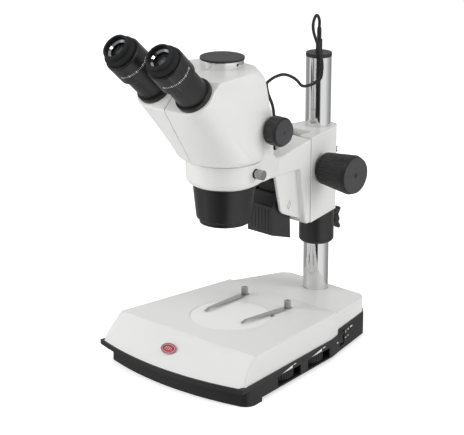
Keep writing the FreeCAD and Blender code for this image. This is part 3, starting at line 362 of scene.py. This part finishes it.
# ---- head -----------------------------------------------------------------------
HEAD = Vector(JOINTS["head_turn"]["pos_m"])
HEAD_Y = HEAD.y / MM
SHIFT = HEAD_Y + 40.6                      # row y minus the y of the section tables
COVER_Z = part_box("head_cover_right")[0].z / MM
TOP_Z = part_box("port_ring")[0].z / MM
RING_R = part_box("arm")[1].x / MM
EYE = Vector(JOINTS["diopter_right_turn"]["pos_m"])
FACE_NORMAL = Vector(JOINTS["tube_right_swing"]["axis"])
PORT_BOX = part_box("port_ring")
PORT_Y = (PORT_BOX[0].y + PORT_BOX[1].y) / 2
ZOOM = Vector(JOINTS["zoom_turn"]["pos_m"])
SEAM = 0.42 * MM                           # half the gap between the two shells
GAP_SHADE_H = 0.7                             # gap between the head and the arm's ring, filled with a disc of painted shade
BOSS_R = 26.0
NOSE = 10.5                                # the chin overhangs the arm's ring by this much
CHIN_H = 4.7
FLANK_START = 0.66                         # share of the neck's radius where its flanks start
FLANK_X = 45.2                             # half width of the head below the prism housing's ledge
EYE_HOLE_R = 17 * MM
PORT_HOLE_R = 20 * MM
ZOOM_HOLE_R = 7 * MM
NECK_HOLE_R = 43.2 * MM


def neck_point(angle, radius, z):
    """Point of the head's neck outline; the front half bulges out over the arm's ring."""
    bulge = radius - RING_R
    r = RING_R + bulge * max(0.0, -math.sin(angle)) ** 0.5
    return Vector((r * math.cos(angle), HEAD_Y + r * math.sin(angle), z))


def tube_lobe_mesh(steps=20):
    """Front lobe: ruled between the round neck and the oblong eyepiece face, run past both ends."""
    up = Vector((0, 1, 1)).normalized()
    right = Vector((1, 0, 0))
    middle = Vector((0, EYE.y, EYE.z)) / MM
    half = EYE.x / MM
    top, angles = [], []
    for side in (1, -1):
        for i in range(steps + 1):
            a = side * (math.pi / 2 - math.pi * i / steps)
            spot = middle + right * side * (half + BOSS_R * math.cos(a)) + up * BOSS_R * math.sin(a)
            top.append(spot)
        for i in range(1, steps):
            top.append(middle + (right * half * (1 - 2 * i / steps) - up * BOSS_R) * side)
    spread = math.degrees(math.acos(FLANK_START))
    ends_included = range(steps + 1)
    ends_left_out = range(1, steps)
    for a0, a1, stops in ((spread, -spread, ends_included),
                          (-spread, spread - 180, ends_left_out),
                          (spread - 180, -180 - spread, ends_included),
                          (-180 - spread, spread - 360, ends_left_out)):
        angles += [math.radians(a0 + (a1 - a0) * (i / steps)) for i in stops]
    levels = [(RING_R, COVER_Z - 8), (RING_R, COVER_Z), (RING_R + NOSE, COVER_Z + CHIN_H)]
    loops = [[neck_point(a, r, z) for a in angles] for r, z in levels]
    chin = loops[-1]
    loops.append(top)
    loops.append([t + (t - c) * 0.25 for t, c in zip(top, chin)])
    bm = bmesh.new()
    rings = [[bm.verts.new(spot * MM) for spot in loop] for loop in loops]
    count = len(top)
    for a, b in zip(rings, rings[1:]):
        for i in range(count):
            j = (i + 1) % count
            bm.faces.new((a[i], a[j], b[j], b[i]))
    bm.faces.new(rings[0])
    bm.faces.new(rings[-1])
    bmesh.ops.recalc_face_normals(bm, faces=bm.faces)
    return bm


def hull_mesh(points):
    """Convex hull of points in millimetres."""
    bm = bmesh.new()
    for spot in points:
        bm.verts.new(Vector(spot) * MM)
    bmesh.ops.convex_hull(bm, input=bm.verts)
    return bm


def cheek_mesh(side):
    """Fills the valley between the two lobes, below the ledge of the prism housing."""
    up = Vector((0, 1, 1)).normalized()
    out = Vector((side, 0, 0))
    boss = Vector((side * EYE.x, EYE.y, EYE.z)) / MM - FACE_NORMAL * 14
    points = []
    for turn in (-70, -35, 0, 35, 60):
        a = math.radians(turn)
        points.append(boss + out * BOSS_R * math.cos(a) * 0.97 + up * BOSS_R * math.sin(a))
    for turn in (-62, -40, -20, 0):
        spot = neck_point(math.radians(turn), RING_R + NOSE * 0.5, COVER_Z + CHIN_H)
        points.append(Vector((side * spot.x, spot.y, spot.z)))
    for y in (-41, -22):
        points += [Vector((side * FLANK_X, y + SHIFT, z)) for z in (316, COVER_Z + 4)]
    return hull_mesh(points)


def zoom_lobe_mesh():
    """Rear lobe: stacked sections of the zoom housing and the wider prism housing."""
    sections = [
        (COVER_Z - 12, [(40, -66), (45.5, -41), (41, 2), (24, 10)]),
        (COVER_Z, [(40, -66), (45.5, -41), (41, 2), (24, 10)]),
        (318, [(44, -96), (45.5, -41), (43, -4), (24, 7)]),
        (324, [(47, -100), (48.5, -46), (45, -10), (26, 6)]),
        (362, [(54, -118), (51.5, -46), (46, -20), (26, -4)]),
        (TOP_Z, [(57, -118), (51, -46), (44, -32), (24, -15)]),
        (TOP_Z + 8, [(58, -118), (50.5, -46), (43, -39), (23, -23)]),
    ]
    bm = bmesh.new()
    for low, high in zip(sections, sections[1:]):
        slab = bmesh.new()
        for z, points in (low, high):
            for x, y in points:
                for sign in (-1, 1):
                    slab.verts.new(Vector((sign * x, y + SHIFT, z)) * MM)
        bmesh.ops.convex_hull(slab, input=slab.verts)
        data = bpy.data.meshes.new("slab")
        slab.to_mesh(data)
        slab.free()
        bm.from_mesh(data)
        bpy.data.meshes.remove(data)
    return bm


def joined(*meshes):
    """One bmesh that holds all the given ones."""
    result = bmesh.new()
    for bm in meshes:
        data = bpy.data.meshes.new("part")
        bm.to_mesh(data)
        bm.free()
        result.from_mesh(data)
        bpy.data.meshes.remove(data)
    return result


def rod_mesh(r, start, direction, length, steps=64):
    """Closed cylinder from a start point along a direction."""
    return lathe([(0, 0), (r, 0), (r, length), (0, length)], start, direction, steps)


def carve(obj, tool_bm):
    """Exact boolean difference, applied."""
    data = bpy.data.meshes.new("tool")
    tool_bm.to_mesh(data)
    tool_bm.free()
    tool = bpy.data.objects.new("tool", data)
    bpy.context.scene.collection.objects.link(tool)
    cut = obj.modifiers.new("cut", "BOOLEAN")
    cut.operation = "DIFFERENCE"
    cut.solver = "EXACT"
    cut.object = tool
    bpy.context.view_layer.update()
    final = bpy.data.meshes.new_from_object(
        obj.evaluated_get(bpy.context.evaluated_depsgraph_get()))
    obj.modifiers.clear()
    obj.data = final
    bpy.data.objects.remove(tool)


def head_gap_shade():
    """Painted shade: a black disc in the joint between the head and the arm's ring, standing in for the
    shadow in that gap.
    """
    r = (RING_R - 0.9) * MM
    gasket = lathe([(0, 0), (r, 0), (r, 0.9 * MM), (0, 0.9 * MM)], (0, HEAD.y, COVER_Z * MM), (0, 0, 1), 96)
    add_piece("head_gap_shade", gasket, SHADE_BLACK, "head")


def head_seam_shade(body):
    """Painted shade: a black strip a little below the surface, seen through the gap between the shells in
    place of the shadow inside it.
    """
    line = body.copy()
    for sign in (1, -1):
        slice_off(line, (sign * SEAM * 1.5, 0, 0), (sign, 0, 0))
    middle = Vector((0, HEAD.y - 0.03, 0.315))
    bmesh.ops.scale(line, vec=(1, 0.992, 0.992), space=Matrix.Translation(-middle), verts=line.verts)
    add_piece("head_seam_shade", line, SHADE_BLACK, "head")


def head_halves():
    """Soft moulded head, split at the middle plane."""
    face = Vector((0, EYE.y, EYE.z))
    solid = joined(tube_lobe_mesh(), zoom_lobe_mesh(), cheek_mesh(1), cheek_mesh(-1))
    body = remeshed("head_soft", solid, 1.6 * MM, 9)
    slice_off(body, face, FACE_NORMAL)
    slice_off(body, (0, 0, TOP_Z * MM), (0, 0, 1))
    body = remeshed("head_even", body, 1.2 * MM, 8)
    slice_off(body, (0, 0, (COVER_Z + GAP_SHADE_H) * MM), (0, 0, -1))
    head_gap_shade()
    head_seam_shade(body)
    for sign, side in ((1, "right"), (-1, "left")):
        half = body.copy()
        slice_off(half, (sign * SEAM, 0, 0), (-sign, 0, 0))
        obj = add_piece("head_shell_" + side, half, WHITE, smooth=40)
        eye = Vector((sign * EYE.x, EYE.y, EYE.z))
        carve(obj, rod_mesh(EYE_HOLE_R, eye - FACE_NORMAL * 8 * MM, FACE_NORMAL, 20 * MM))
        carve(obj, rod_mesh(PORT_HOLE_R, (0, PORT_Y, (TOP_Z - 10) * MM), (0, 0, 1), 20 * MM))
        carve(obj, rod_mesh(ZOOM_HOLE_R, (0, ZOOM.y, ZOOM.z), (sign, 0, 0), 80 * MM))
        carve(obj, rod_mesh(NECK_HOLE_R, (0, HEAD.y, (COVER_Z - 5) * MM), (0, 0, 1), 13.5 * MM, 128))
        obj.data.set_sharp_from_angle(angle=math.radians(40))
        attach(obj, "head")
        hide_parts("head_cover_" + side)
    body.free()


head_halves()


# ---- castings -------------------------------------------------------------------
LOCK = Vector(JOINTS["lock_screw_turn"]["pos_m"])
LOCK_AXIS = Vector(JOINTS["lock_screw_turn"]["axis"]).normalized()


def soft_arm():
    """Arm casting with rounded edges and fillets."""
    body = remeshed("arm_soft", node_mesh("arm"), 1.1 * MM, 5)
    obj = add_piece("arm_casting", body, WHITE, smooth=50)
    start = LOCK + LOCK_AXIS * (RING_R - 2.5) * MM
    carve(obj, rod_mesh(6.0 * MM, start, LOCK_AXIS, 12 * MM, 48))
    obj.data.set_sharp_from_angle(angle=math.radians(40))
    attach(obj, "arm_slide")
    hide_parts("arm")


def soft_block():
    """Focus block with rounded outer edges."""
    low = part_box("focus_block")[0]
    bm = node_mesh("focus_block")
    pole = Vector(JOINTS["block_swing"]["pos_m"])
    shaft = Vector(JOINTS["focus_turn"]["pos_m"])

    def outer(edge, middle):
        near_pole = (middle.xy - pole.xy).length < 17 * MM
        in_channel = abs(middle.x) < 17.5 * MM and middle.y < low.y + 24 * MM
        near_shaft = abs(middle.x) > 20 * MM and (middle.yz - shaft.yz).length < 8 * MM
        return not (near_pole or in_channel or near_shaft) and edge.is_convex

    bevel_where(bm, 1.8 * MM, 4, outer)
    obj = add_piece("block_casting", bm, WHITE, "block", smooth=50, flat=True)
    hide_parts("focus_block")


def soft_base_cover():
    """White base cover: broad soft creases in front, rounded rims, crisp openings."""
    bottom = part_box("base_cover")[0].z
    bm = node_mesh("base_cover")
    plate, pole = (sum(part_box(node), Vector()) / 2 for node in ("stage_plate", "pole"))
    step_y = (65 + SHIFT) * MM
    clips = [Vector(JOINTS[name]["pos_m"]) for name in ("clip_left_swing", "clip_right_swing")]

    def outer(middle):
        near_plate = (middle.xy - plate.xy).length < 58 * MM
        near_pole = (middle.xy - pole.xy).length < 18 * MM
        near_clip = any((middle.xy - spot.xy).length < 4 * MM for spot in clips)
        rim = middle.z < bottom + 0.4 * MM or (middle.z < 34.6 * MM and middle.y > 80 * MM)
        at_step = abs(middle.y - step_y) < 0.6 * MM and middle.z > 50 * MM and abs(middle.x) < 80 * MM
        return not (near_plate or near_pole or near_clip or rim or at_step)

    def crease(edge, middle):
        long_edge = edge.calc_length() > 25 * MM
        return long_edge and middle.y < step_y and edge.is_convex and outer(middle)

    def other(edge, middle):
        return edge.is_convex and outer(middle)

    bevel_where(bm, 5.0 * MM, 6, crease, angle=12, clamp=False)
    bevel_where(bm, 3.0 * MM, 4, other, angle=24)
    obj = add_piece("base_shell", bm, BASE_WHITE, "base", smooth=50, flat=True)
    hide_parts("base_cover")


soft_arm()
soft_block()
soft_base_cover()


# ---- edges of the carried-over nodes ------------------------------------------------
for edge_node, edge_width in {
    "base_tray": 0.7, "stage_plate": 0.25, "pole": 0.4, "rubber_feet": 0.4, "dial_front": 0.3,
    "dial_rear": 0.3, "eyecup_left": 0.3, "eyecup_right": 0.3, "diopter_ring_left": 0.3,
    "diopter_ring_right": 0.3, "stop_collar": 0.8, "collar_knob": 0.9,
    "pole_cap": 0.5, "lamp_housing": 0.8, "port_ring": 0.3, "port_cap": 0.6,
    "zoom_knob_left": 0.5, "zoom_knob_right": 0.5, "focus_knob_left": 0.25, "focus_knob_right": 0.25,
    "head_lock_screw": 0.3, "clip_screws": 0.3, "objective_shroud": 0.3, "power_rocker": 0.4,
    "stage_clip_left": 0.15, "stage_clip_right": 0.15, "lamp_bracket": 0.4, "block_knob": 0.4,
    "eye_tube_left": 0.3, "eye_tube_right": 0.3, "cable_plug": 0.2, "badge": 0.3, "power_inlet": 0.3,
}.items():
    round_edges(edge_node, edge_width * MM)


# ---- lamp cable -----------------------------------------------------------------
CABLE_R = 1.9 * MM
# hanging length, in millimetres: x and z in the row frame, y from the lower end of the loop at the pole
CABLE_DIPS = [(14.6, -0.5, 332), (8, -4.5, 325), (1, -17, 322.5), (0, -29, 332.5), (0, -41, 339.5),
              (0, -54, 343.6), (0, -68, 343.2), (0, -78, 340.6), (0, -83.3, 338)]


def end_of(node, lowest):
    """Middle of a cable's end ring: the lowest or highest part of its mesh."""
    spots = [v.co for v in NODES[node].data.vertices]
    level = min(p.z for p in spots) if lowest else max(p.z for p in spots)
    ring = [p for p in spots if abs(p.z - level) < 0.9 * MM]
    return sum(ring, Vector()) / len(ring)


def flexible_cable():
    """The hanging length between the pole and the head, in three stretches."""
    start, finish = end_of("cable_loop", True), end_of("cable_drop", False)
    dips = [Vector((x * MM, start.y + y * MM, z * MM)) for x, y, z in CABLE_DIPS]
    path = catmull([start + Vector((0, 0, 0.5 * MM)), *dips, finish - Vector((0, 0, 0.5 * MM))], 1.2 * MM)
    cuts = [0, len(path) // 3, 2 * len(path) // 3, len(path) - 1]
    for i in range(3):
        part = path[cuts[i]:cuts[i + 1] + 1]
        obj = add_piece("cable_flex_%d" % (i + 1), tube_along(part, CABLE_R), CABLE, smooth=60)
        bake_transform(obj)


flexible_cable()


# ---- small details ---------------------------------------------------------------
POCKET_Z = 246.0 * MM                      # floor of the pocket on top of the arm
MARK_SIZE = 0.6                            # scale at which the eyepieces' strokes are printed


def block_mesh(low, high, bevel):
    """Box between two corners, in metres, with rounded edges."""
    bm = bmesh.new()
    bmesh.ops.create_cube(bm, size=1.0)
    bmesh.ops.scale(bm, vec=high - low, verts=bm.verts)
    bmesh.ops.translate(bm, vec=(low + high) / 2, verts=bm.verts)
    bmesh.ops.bevel(bm, geom=bm.edges[:], offset=bevel, segments=2, profile=0.5, affect="EDGES")
    return bm


def print_on(name, outlines):
    """Marks printed on the tray's right side: outlines are lists of (y, z) in millimetres."""
    tree = BVHTree.FromObject(NODES["base_tray"], bpy.context.evaluated_depsgraph_get())
    bm = bmesh.new()
    for outline in outlines:
        verts = []
        for y, z in outline:
            hit = tree.ray_cast(Vector((0.3, y * MM, z * MM)), Vector((-1, 0, 0)))[0]
            verts.append(bm.verts.new(hit + Vector((0.18 * MM, 0, 0))))
        bm.faces.new(verts)
    bmesh.ops.recalc_face_normals(bm, faces=bm.faces)
    bmesh.ops.solidify(bm, geom=bm.faces[:], thickness=0.12 * MM)
    add_piece(name, bm, MARK, "base")


def bar(y, z, width, height):
    """Outline of a small upright bar."""
    return [(y - width / 2, z - height / 2), (y + width / 2, z - height / 2),
            (y + width / 2, z + height / 2), (y - width / 2, z + height / 2)]


def base_prints():
    """Brightness wedges over the two wheels and small marks by the power rocker."""
    for name, wheel in (("wedge_front", "wheel_front_turn"), ("wedge_rear", "wheel_rear_turn")):
        y = JOINTS[wheel]["pos_m"][1] / MM
        wedge = [(y - 16, 20.6), (y + 6, 20.8), (y + 6, 24.4)]
        print_on(name, [wedge, bar(y + 11, 24.0, 5, 1.2)])
    y = JOINTS["rocker_tip"]["pos_m"][1] / MM
    bars = [(9.5, 25.5, 1.0, 3.4), (16, 26.5, 2.4, 2.2), (9.5, 17.5, 3.4, 1.0), (16, 18.0, 1.0, 2.6),
            (25, 27.0, 6.0, 1.6), (-13.5, 18.5, 3.6, 1.4)]
    print_on("switch_marks", [bar(y + place, z, width, height) for place, z, width, height in bars])


def ellipse_band(centre, u, v, n, size, width, height):
    """Flat oval band on a plane: size holds its outer half axes, n points out of the plane."""
    steps = 48
    turns = [2 * math.pi * i / steps for i in range(steps)]
    bm = bmesh.new()
    rings = []
    for inner, lift in ((0, 0), (0, 1), (1, 1), (1, 0)):
        a, b = size[0] - width * inner, size[1] - width * inner
        rings.append([bm.verts.new(centre + u * a * math.cos(t) + v * b * math.sin(t) + n * height * lift)
                      for t in turns])
    for k in range(4):
        near, far = rings[k], rings[(k + 1) % 4]
        for i in range(steps):
            j = (i + 1) % steps
            bm.faces.new((near[i], near[j], far[j], far[i]))
    bmesh.ops.recalc_face_normals(bm, faces=bm.faces)
    return bm


def badge_details():
    """Bright rim and a plain figure of four slanted bars on the red oval badge."""
    mesh = NODES["badge"].data
    face = max((f for f in mesh.polygons if f.normal.z > 0.3), key=lambda f: f.area)
    n = face.normal.copy()
    u = Vector((1, 0, 0))
    v = n.cross(u)
    low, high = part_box("badge")
    centre = (low + high) / 2
    centre += n * (max(vert.co.dot(n) for vert in mesh.vertices) - centre.dot(n))
    half_x = (high.x - low.x) / 2
    half_v = max((vert.co - centre).dot(v) for vert in mesh.vertices)
    rim = ellipse_band(centre - n * 0.3 * MM, u, v, n, (half_x, half_v), 0.7 * MM, 0.6 * MM)
    add_piece("badge_rim", rim, CHROME, "base")
    inset = 1.7 * MM
    line = ellipse_band(centre, u, v, n, (half_x - inset, half_v - inset), 0.35 * MM, 0.15 * MM)
    add_piece("badge_line", line, MARK, "base")
    figure = bmesh.new()
    for x, tall in ((-4.4, 1.9), (-1.5, 2.6), (1.5, 2.6), (4.4, 1.9)):
        corners = [(x - 0.9, -tall), (x + 0.5, -tall), (x + 0.9, tall), (x - 0.5, tall)]
        figure.faces.new([figure.verts.new(centre + (u * a + v * b + n * 0.12) * MM) for a, b in corners])
    bmesh.ops.solidify(figure, geom=figure.faces[:], thickness=0.1 * MM)
    add_piece("badge_figure", figure, MARK, "base")


def scale_marks(rim, axis, across, around):
    """Short printed strokes on the wide ring, a longer one at every fifth."""
    bm = bmesh.new()
    for i in range(-10, 11):
        turn = math.radians(i * 5.2 - 30)
        out = across * math.cos(turn) + around * math.sin(turn)
        along = out.cross(axis)
        a, b = (0.42, 1.9) if i % 5 else (0.8, 2.6)
        foot = rim - axis * 31.0 * MM + out * 22.45 * MM
        bm.faces.new([bm.verts.new(foot + along * p * MM * MARK_SIZE + axis * q * MM * MARK_SIZE)
                      for p, q in ((-a, -b), (a, -b), (a, b), (-a, b))])
    bmesh.ops.recalc_face_normals(bm, faces=bm.faces)
    bmesh.ops.solidify(bm, geom=bm.faces[:], thickness=0.1 * MM)
    return bm


def grip_ribs(rim, axis, across, around, count=72):
    """Ribbed band around the shoulder of the eyecup."""
    bm = bmesh.new()
    rings = []
    for depth, extra in ((9.2, 0), (9.6, 0.35), (12.6, 0.35), (13.0, 0)):
        circle = []
        for i in range(count * 2):
            turn = math.pi * i / count
            out = across * math.cos(turn) + around * math.sin(turn)
            r = 19.82 + extra if i % 2 else 19.75
            circle.append(bm.verts.new(rim - axis * depth * MM + out * r * MM))
        rings.append(circle)
    for a, b in zip(rings, rings[1:]):
        for i in range(count * 2):
            j = (i + 1) % (count * 2)
            bm.faces.new((a[i], a[j], b[j], b[i]))
    bmesh.ops.recalc_face_normals(bm, faces=bm.faces)
    return bm


def eyepiece_details():
    """Scale marks, ribbed grip and bright lens seat on both eyepieces."""
    for side in ("left", "right"):
        body = "diopter_" + side
        joint = JOINTS["diopter_%s_turn" % side]
        axis = Vector(joint["axis"]).normalized()
        base = Vector(joint["pos_m"])

        def top_of(node):
            heights = [(v.co - base).dot(axis) for v in NODES[node].data.vertices]
            return base + axis * max(heights)

        rim = top_of("eyecup_" + side)
        across = (Vector((1, 0, 0)) - axis * axis.x).normalized()
        around = axis.cross(across)
        marks = scale_marks(rim, axis, across, around)
        add_piece("scale_marks_" + side, marks, MARK, body)
        ribs = grip_ribs(rim, axis, across, around)
        add_piece("grip_ribs_" + side, ribs, RUBBER, body, smooth=20)
        profile = [(13.0, 1.5), (10.4, 0.1), (10.4, -0.3), (13.0, -0.3), (13.0, 1.5)]
        seat = lathe([(r * MM, h * MM) for r, h in profile], top_of("eye_lens_" + side), axis, 72)
        add_piece("lens_ring_" + side, seat, SCREW, body)


def knob_faces():
    """End caps of the focus and zoom knobs: a flat disc with a low rim."""
    for kind, body in (("focus_knob", "focus_drive"), ("zoom_knob", "zoom_drive")):
        for side, sign in (("left", -1), ("right", 1)):
            low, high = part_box("%s_%s" % (kind, side))
            centre = (low + high) / 2
            r = (high.z - low.z) / 2 / MM
            tip = Vector((high.x if sign > 0 else low.x, centre.y, centre.z))
            profile = [(0, -0.1), (r - 3.2, 0.1), (r - 2.6, 0.35), (r - 2.2, 0.1), (r - 2.2, -0.8), (0, -0.8)]
            disc = lathe([(radius * MM, h * MM) for radius, h in profile], tip, (sign, 0, 0), 72)
            add_piece("%s_face_%s" % (kind, side), disc, KNOB_FACE, body, smooth=25)


def pocket_details():
    """Dark insert, two latches and the cable's grommet in the pocket on top of the arm."""
    cable = end_of("cable_drop", True)
    floor = Vector((cable.x, cable.y, POCKET_Z))

    def inside(low, high, bevel):
        return block_mesh(floor + Vector(low) * MM, floor + Vector(high) * MM, bevel * MM)

    insert = inside((-12.2, -11.2, 0.05), (12.2, 11.6, 1.6), 0.3)
    add_piece("pocket_insert", insert, BLACK, "arm_slide")
    for i, x in enumerate((-8.6, 8.6)):
        latch = inside((x - 2.2, -7, 1.7), (x + 2.2, 8, 3.4), 0.5)
        add_piece("pocket_latch_%d" % (i + 1), latch, GREY_PRINT, "arm_slide")
    profile = [(2.0, 0), (4.4, 0), (4.0, 4.4), (2.9, 5.2), (2.0, 5.2), (2.0, 0)]
    grommet = lathe([(r * MM, h * MM) for r, h in profile], floor + Vector((0, 0, 1.65 * MM)), (0, 0, 1), 40)
    add_piece("cable_grommet", grommet, RUBBER, "arm_slide")


def lock_pocket_shade():
    """Painted shade: a black ring in the pocket round the lock screw, darkening it as its shadow would."""
    profile = [(3.0, 0), (5.9, 0), (5.9, 1.2), (3.0, 1.2), (3.0, 0)]
    start = LOCK + LOCK_AXIS * (RING_R - 2.4) * MM
    pocket_shade = lathe([(r * MM, h * MM) for r, h in profile], start, LOCK_AXIS, 40)
    add_piece("lock_pocket_shade", pocket_shade, SHADE_BLACK, "arm_slide")


def lens_sign():
    """Outline of a lens, printed on the arm's right cheek."""
    tree = BVHTree.FromObject(bpy.data.objects["arm_casting"], bpy.context.evaluated_depsgraph_get())
    y, z = end_of("cable_drop", True).y / MM - 2.4, 188.5
    steps = 12
    bm = bmesh.new()
    for bend in (-1, 1):
        strip = []
        for i in range(steps + 1):
            t = i / steps * 2 - 1
            bow = bend * 2.1 * (1 - t * t) + 1.2 * t
            for edge in (-0.3, 0.3):
                start = Vector((200, y + bow + edge, z + 5.2 * t)) * MM
                hit = tree.ray_cast(start, Vector((-1, 0, 0)))[0]
                strip.append(bm.verts.new(hit + Vector((0.15 * MM, 0, 0))))
        for i in range(0, 2 * steps, 2):
            bm.faces.new((strip[i], strip[i + 1], strip[i + 3], strip[i + 2]))
    bmesh.ops.recalc_face_normals(bm, faces=bm.faces)
    add_piece("lens_sign", bm, GREY_PRINT, "arm_slide")


def lamp_ribs():
    """Upright cooling ribs on the lamp's front."""
    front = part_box("lamp_housing")[0].y
    for i in range(6):
        x = (i - 2.5) * 5.4 * MM
        low = Vector((x - 0.8 * MM, front - 0.5 * MM, 158 * MM))
        high = Vector((x + 0.8 * MM, front + 1.0 * MM, 185 * MM))
        add_piece("lamp_rib_%d" % (i + 1), block_mesh(low, high, 0.3 * MM), BLACK, "lamp")


base_prints()
badge_details()
eyepiece_details()
knob_faces()
pocket_details()
lock_pocket_shade()
lens_sign()
lamp_ribs()


# ---- studio ----------------------------------------------------------------------
CAMERA_YAW = 42.6195
CAMERA_DIP = 18.0969
CAMERA_ROLL = 0.0785
CAMERA_PLACE = (1.52264, -1.68192 + SHIFT * MM, 0.91867)
LENS = 153.1078                            # millimetres, for a 36 mm wide sensor
AMBIENT = 0.46
# brightness of the walls that polished parts mirror, by angle to the right of the camera
WALLS = [(-180, 0.6), (-130, 0.36), (-98, 0.30), (-88, 0.75), (-78, 0.8), (-66, 0.34), (-36, 0.30),
         (-26, 0.02), (10, 0.03), (20, 0.9), (62, 0.85), (95, 0.45), (135, 0.25), (160, 0.6),
         (180, 0.6)]


def area_light(name, place, height, size, power):
    """Soft light aimed at a height on the row frame's axis."""
    data = bpy.data.lights.new(name, "AREA")
    data.shape = "RECTANGLE"
    data.size, data.size_y = size
    data.energy = power
    obj = bpy.data.objects.new(name, data)
    bpy.context.scene.collection.objects.link(obj)
    obj.location = place
    obj.rotation_mode = "QUATERNION"
    obj.rotation_quaternion = (Vector(place) - Vector((0, 0, height))).to_track_quat("Z", "Y")
    obj.visible_camera = False
    obj.visible_glossy = name == "top"


def floor():
    """Pale paper that glows a little to the camera and isn't mirrored by polished parts."""
    bm = bmesh.new()
    bmesh.ops.create_grid(bm, x_segments=2, y_segments=2, size=30)
    obj = add_piece("floor", bm, WHITE)
    mat, nodes, links, bsdf = new_material("floor_paper")
    bsdf.inputs["Base Color"].default_value = (0.95, 0.95, 0.95, 1)
    bsdf.inputs["Roughness"].default_value = 0.9
    bsdf.inputs["Specular IOR Level"].default_value = 0.1
    bsdf.inputs["Emission Color"].default_value = (1, 1, 1, 1)
    rays = nodes.new("ShaderNodeLightPath")
    glow = nodes.new("ShaderNodeMath")
    glow.operation = "MULTIPLY"
    glow.inputs[1].default_value = 0.5
    links.new(rays.outputs["Is Camera Ray"], glow.inputs[0])
    links.new(glow.outputs["Value"], bsdf.inputs["Emission Strength"])
    obj.data.materials.clear()
    obj.data.materials.append(mat)
    obj.location.z = -0.0002
    obj.visible_glossy = False


def sky():
    """White to the camera; for reflections, walls that are bright at the sides and dark by the camera."""
    world = bpy.data.worlds.new("studio")
    bpy.context.scene.world = world
    world.use_nodes = True
    nodes, links = world.node_tree.nodes, world.node_tree.links
    background = nodes["Background"]
    where = nodes.new("ShaderNodeTexCoord")
    spin = nodes.new("ShaderNodeVectorRotate")
    spin.rotation_type = "Z_AXIS"
    spin.inputs["Angle"].default_value = math.radians(90 - CAMERA_YAW)
    links.new(where.outputs["Generated"], spin.inputs["Vector"])
    split = nodes.new("ShaderNodeSeparateXYZ")
    links.new(spin.outputs["Vector"], split.inputs["Vector"])
    bearing = nodes.new("ShaderNodeMath")
    bearing.operation = "ARCTAN2"
    links.new(split.outputs["Y"], bearing.inputs[0])
    links.new(split.outputs["X"], bearing.inputs[1])
    turn = nodes.new("ShaderNodeMapRange")
    turn.inputs["From Min"].default_value = -math.pi
    turn.inputs["From Max"].default_value = math.pi
    links.new(bearing.outputs["Value"], turn.inputs["Value"])
    ramp = nodes.new("ShaderNodeValToRGB")
    stops = [((angle + 180) / 360, value) for angle, value in WALLS]
    for spot, (place, value) in zip((0, 1), (stops[0], stops[-1])):
        ramp.color_ramp.elements[spot].position = place
        ramp.color_ramp.elements[spot].color = [value] * 3 + [1]
    for place, value in stops[1:-1]:
        ramp.color_ramp.elements.new(place).color = [value] * 3 + [1]
    links.new(turn.outputs["Result"], ramp.inputs["Fac"])
    rays = nodes.new("ShaderNodeLightPath")
    shiny = nodes.new("ShaderNodeMix")
    shiny.data_type = "RGBA"
    shiny.inputs["A"].default_value = [AMBIENT] * 3 + [1]
    links.new(rays.outputs["Is Glossy Ray"], shiny.inputs["Factor"])
    links.new(ramp.outputs["Color"], shiny.inputs["B"])
    seen = nodes.new("ShaderNodeMix")
    seen.data_type = "RGBA"
    seen.inputs["B"].default_value = (1.0, 1.0, 1.0, 1)
    links.new(rays.outputs["Is Camera Ray"], seen.inputs["Factor"])
    links.new(shiny.outputs["Result"], seen.inputs["A"])
    links.new(seen.outputs["Result"], background.inputs["Color"])


def camera():
    """Camera of the rest view."""
    data = bpy.data.cameras.new("camera")
    data.sensor_width = 36.0
    data.lens = LENS
    data.clip_end = 100
    obj = bpy.data.objects.new("camera", data)
    bpy.context.scene.collection.objects.link(obj)
    yaw, dip, roll = (math.radians(v) for v in (CAMERA_YAW, CAMERA_DIP, CAMERA_ROLL))
    ahead = Vector((-math.sin(yaw) * math.cos(dip), math.cos(yaw) * math.cos(dip), -math.sin(dip)))
    level = Vector((math.cos(yaw), math.sin(yaw), 0))
    upright = level.cross(ahead)
    right = level * math.cos(roll) + upright * math.sin(roll)
    up = upright * math.cos(roll) - level * math.sin(roll)
    turn = Matrix((right, up, -ahead)).transposed().to_4x4()
    obj.matrix_world = Matrix.Translation(CAMERA_PLACE) @ turn
    bpy.context.scene.camera = obj


floor()
sky()
camera()
area_light("left", (-1.15, -1.51, 1.0), 0.2, (1.1, 1.5), 21)
area_light("right", (1.68, 0.88, 0.9), 0.2, (1.1, 1.5), 17)
area_light("top", (0.45, -0.85, 1.75), 0.15, (0.9, 0.35), 6)
area_light("back", (-1.0, 1.5, 1.0), 0.2, (1.2, 1.0), 5)
bpy.context.scene.view_settings.view_transform = "Standard"
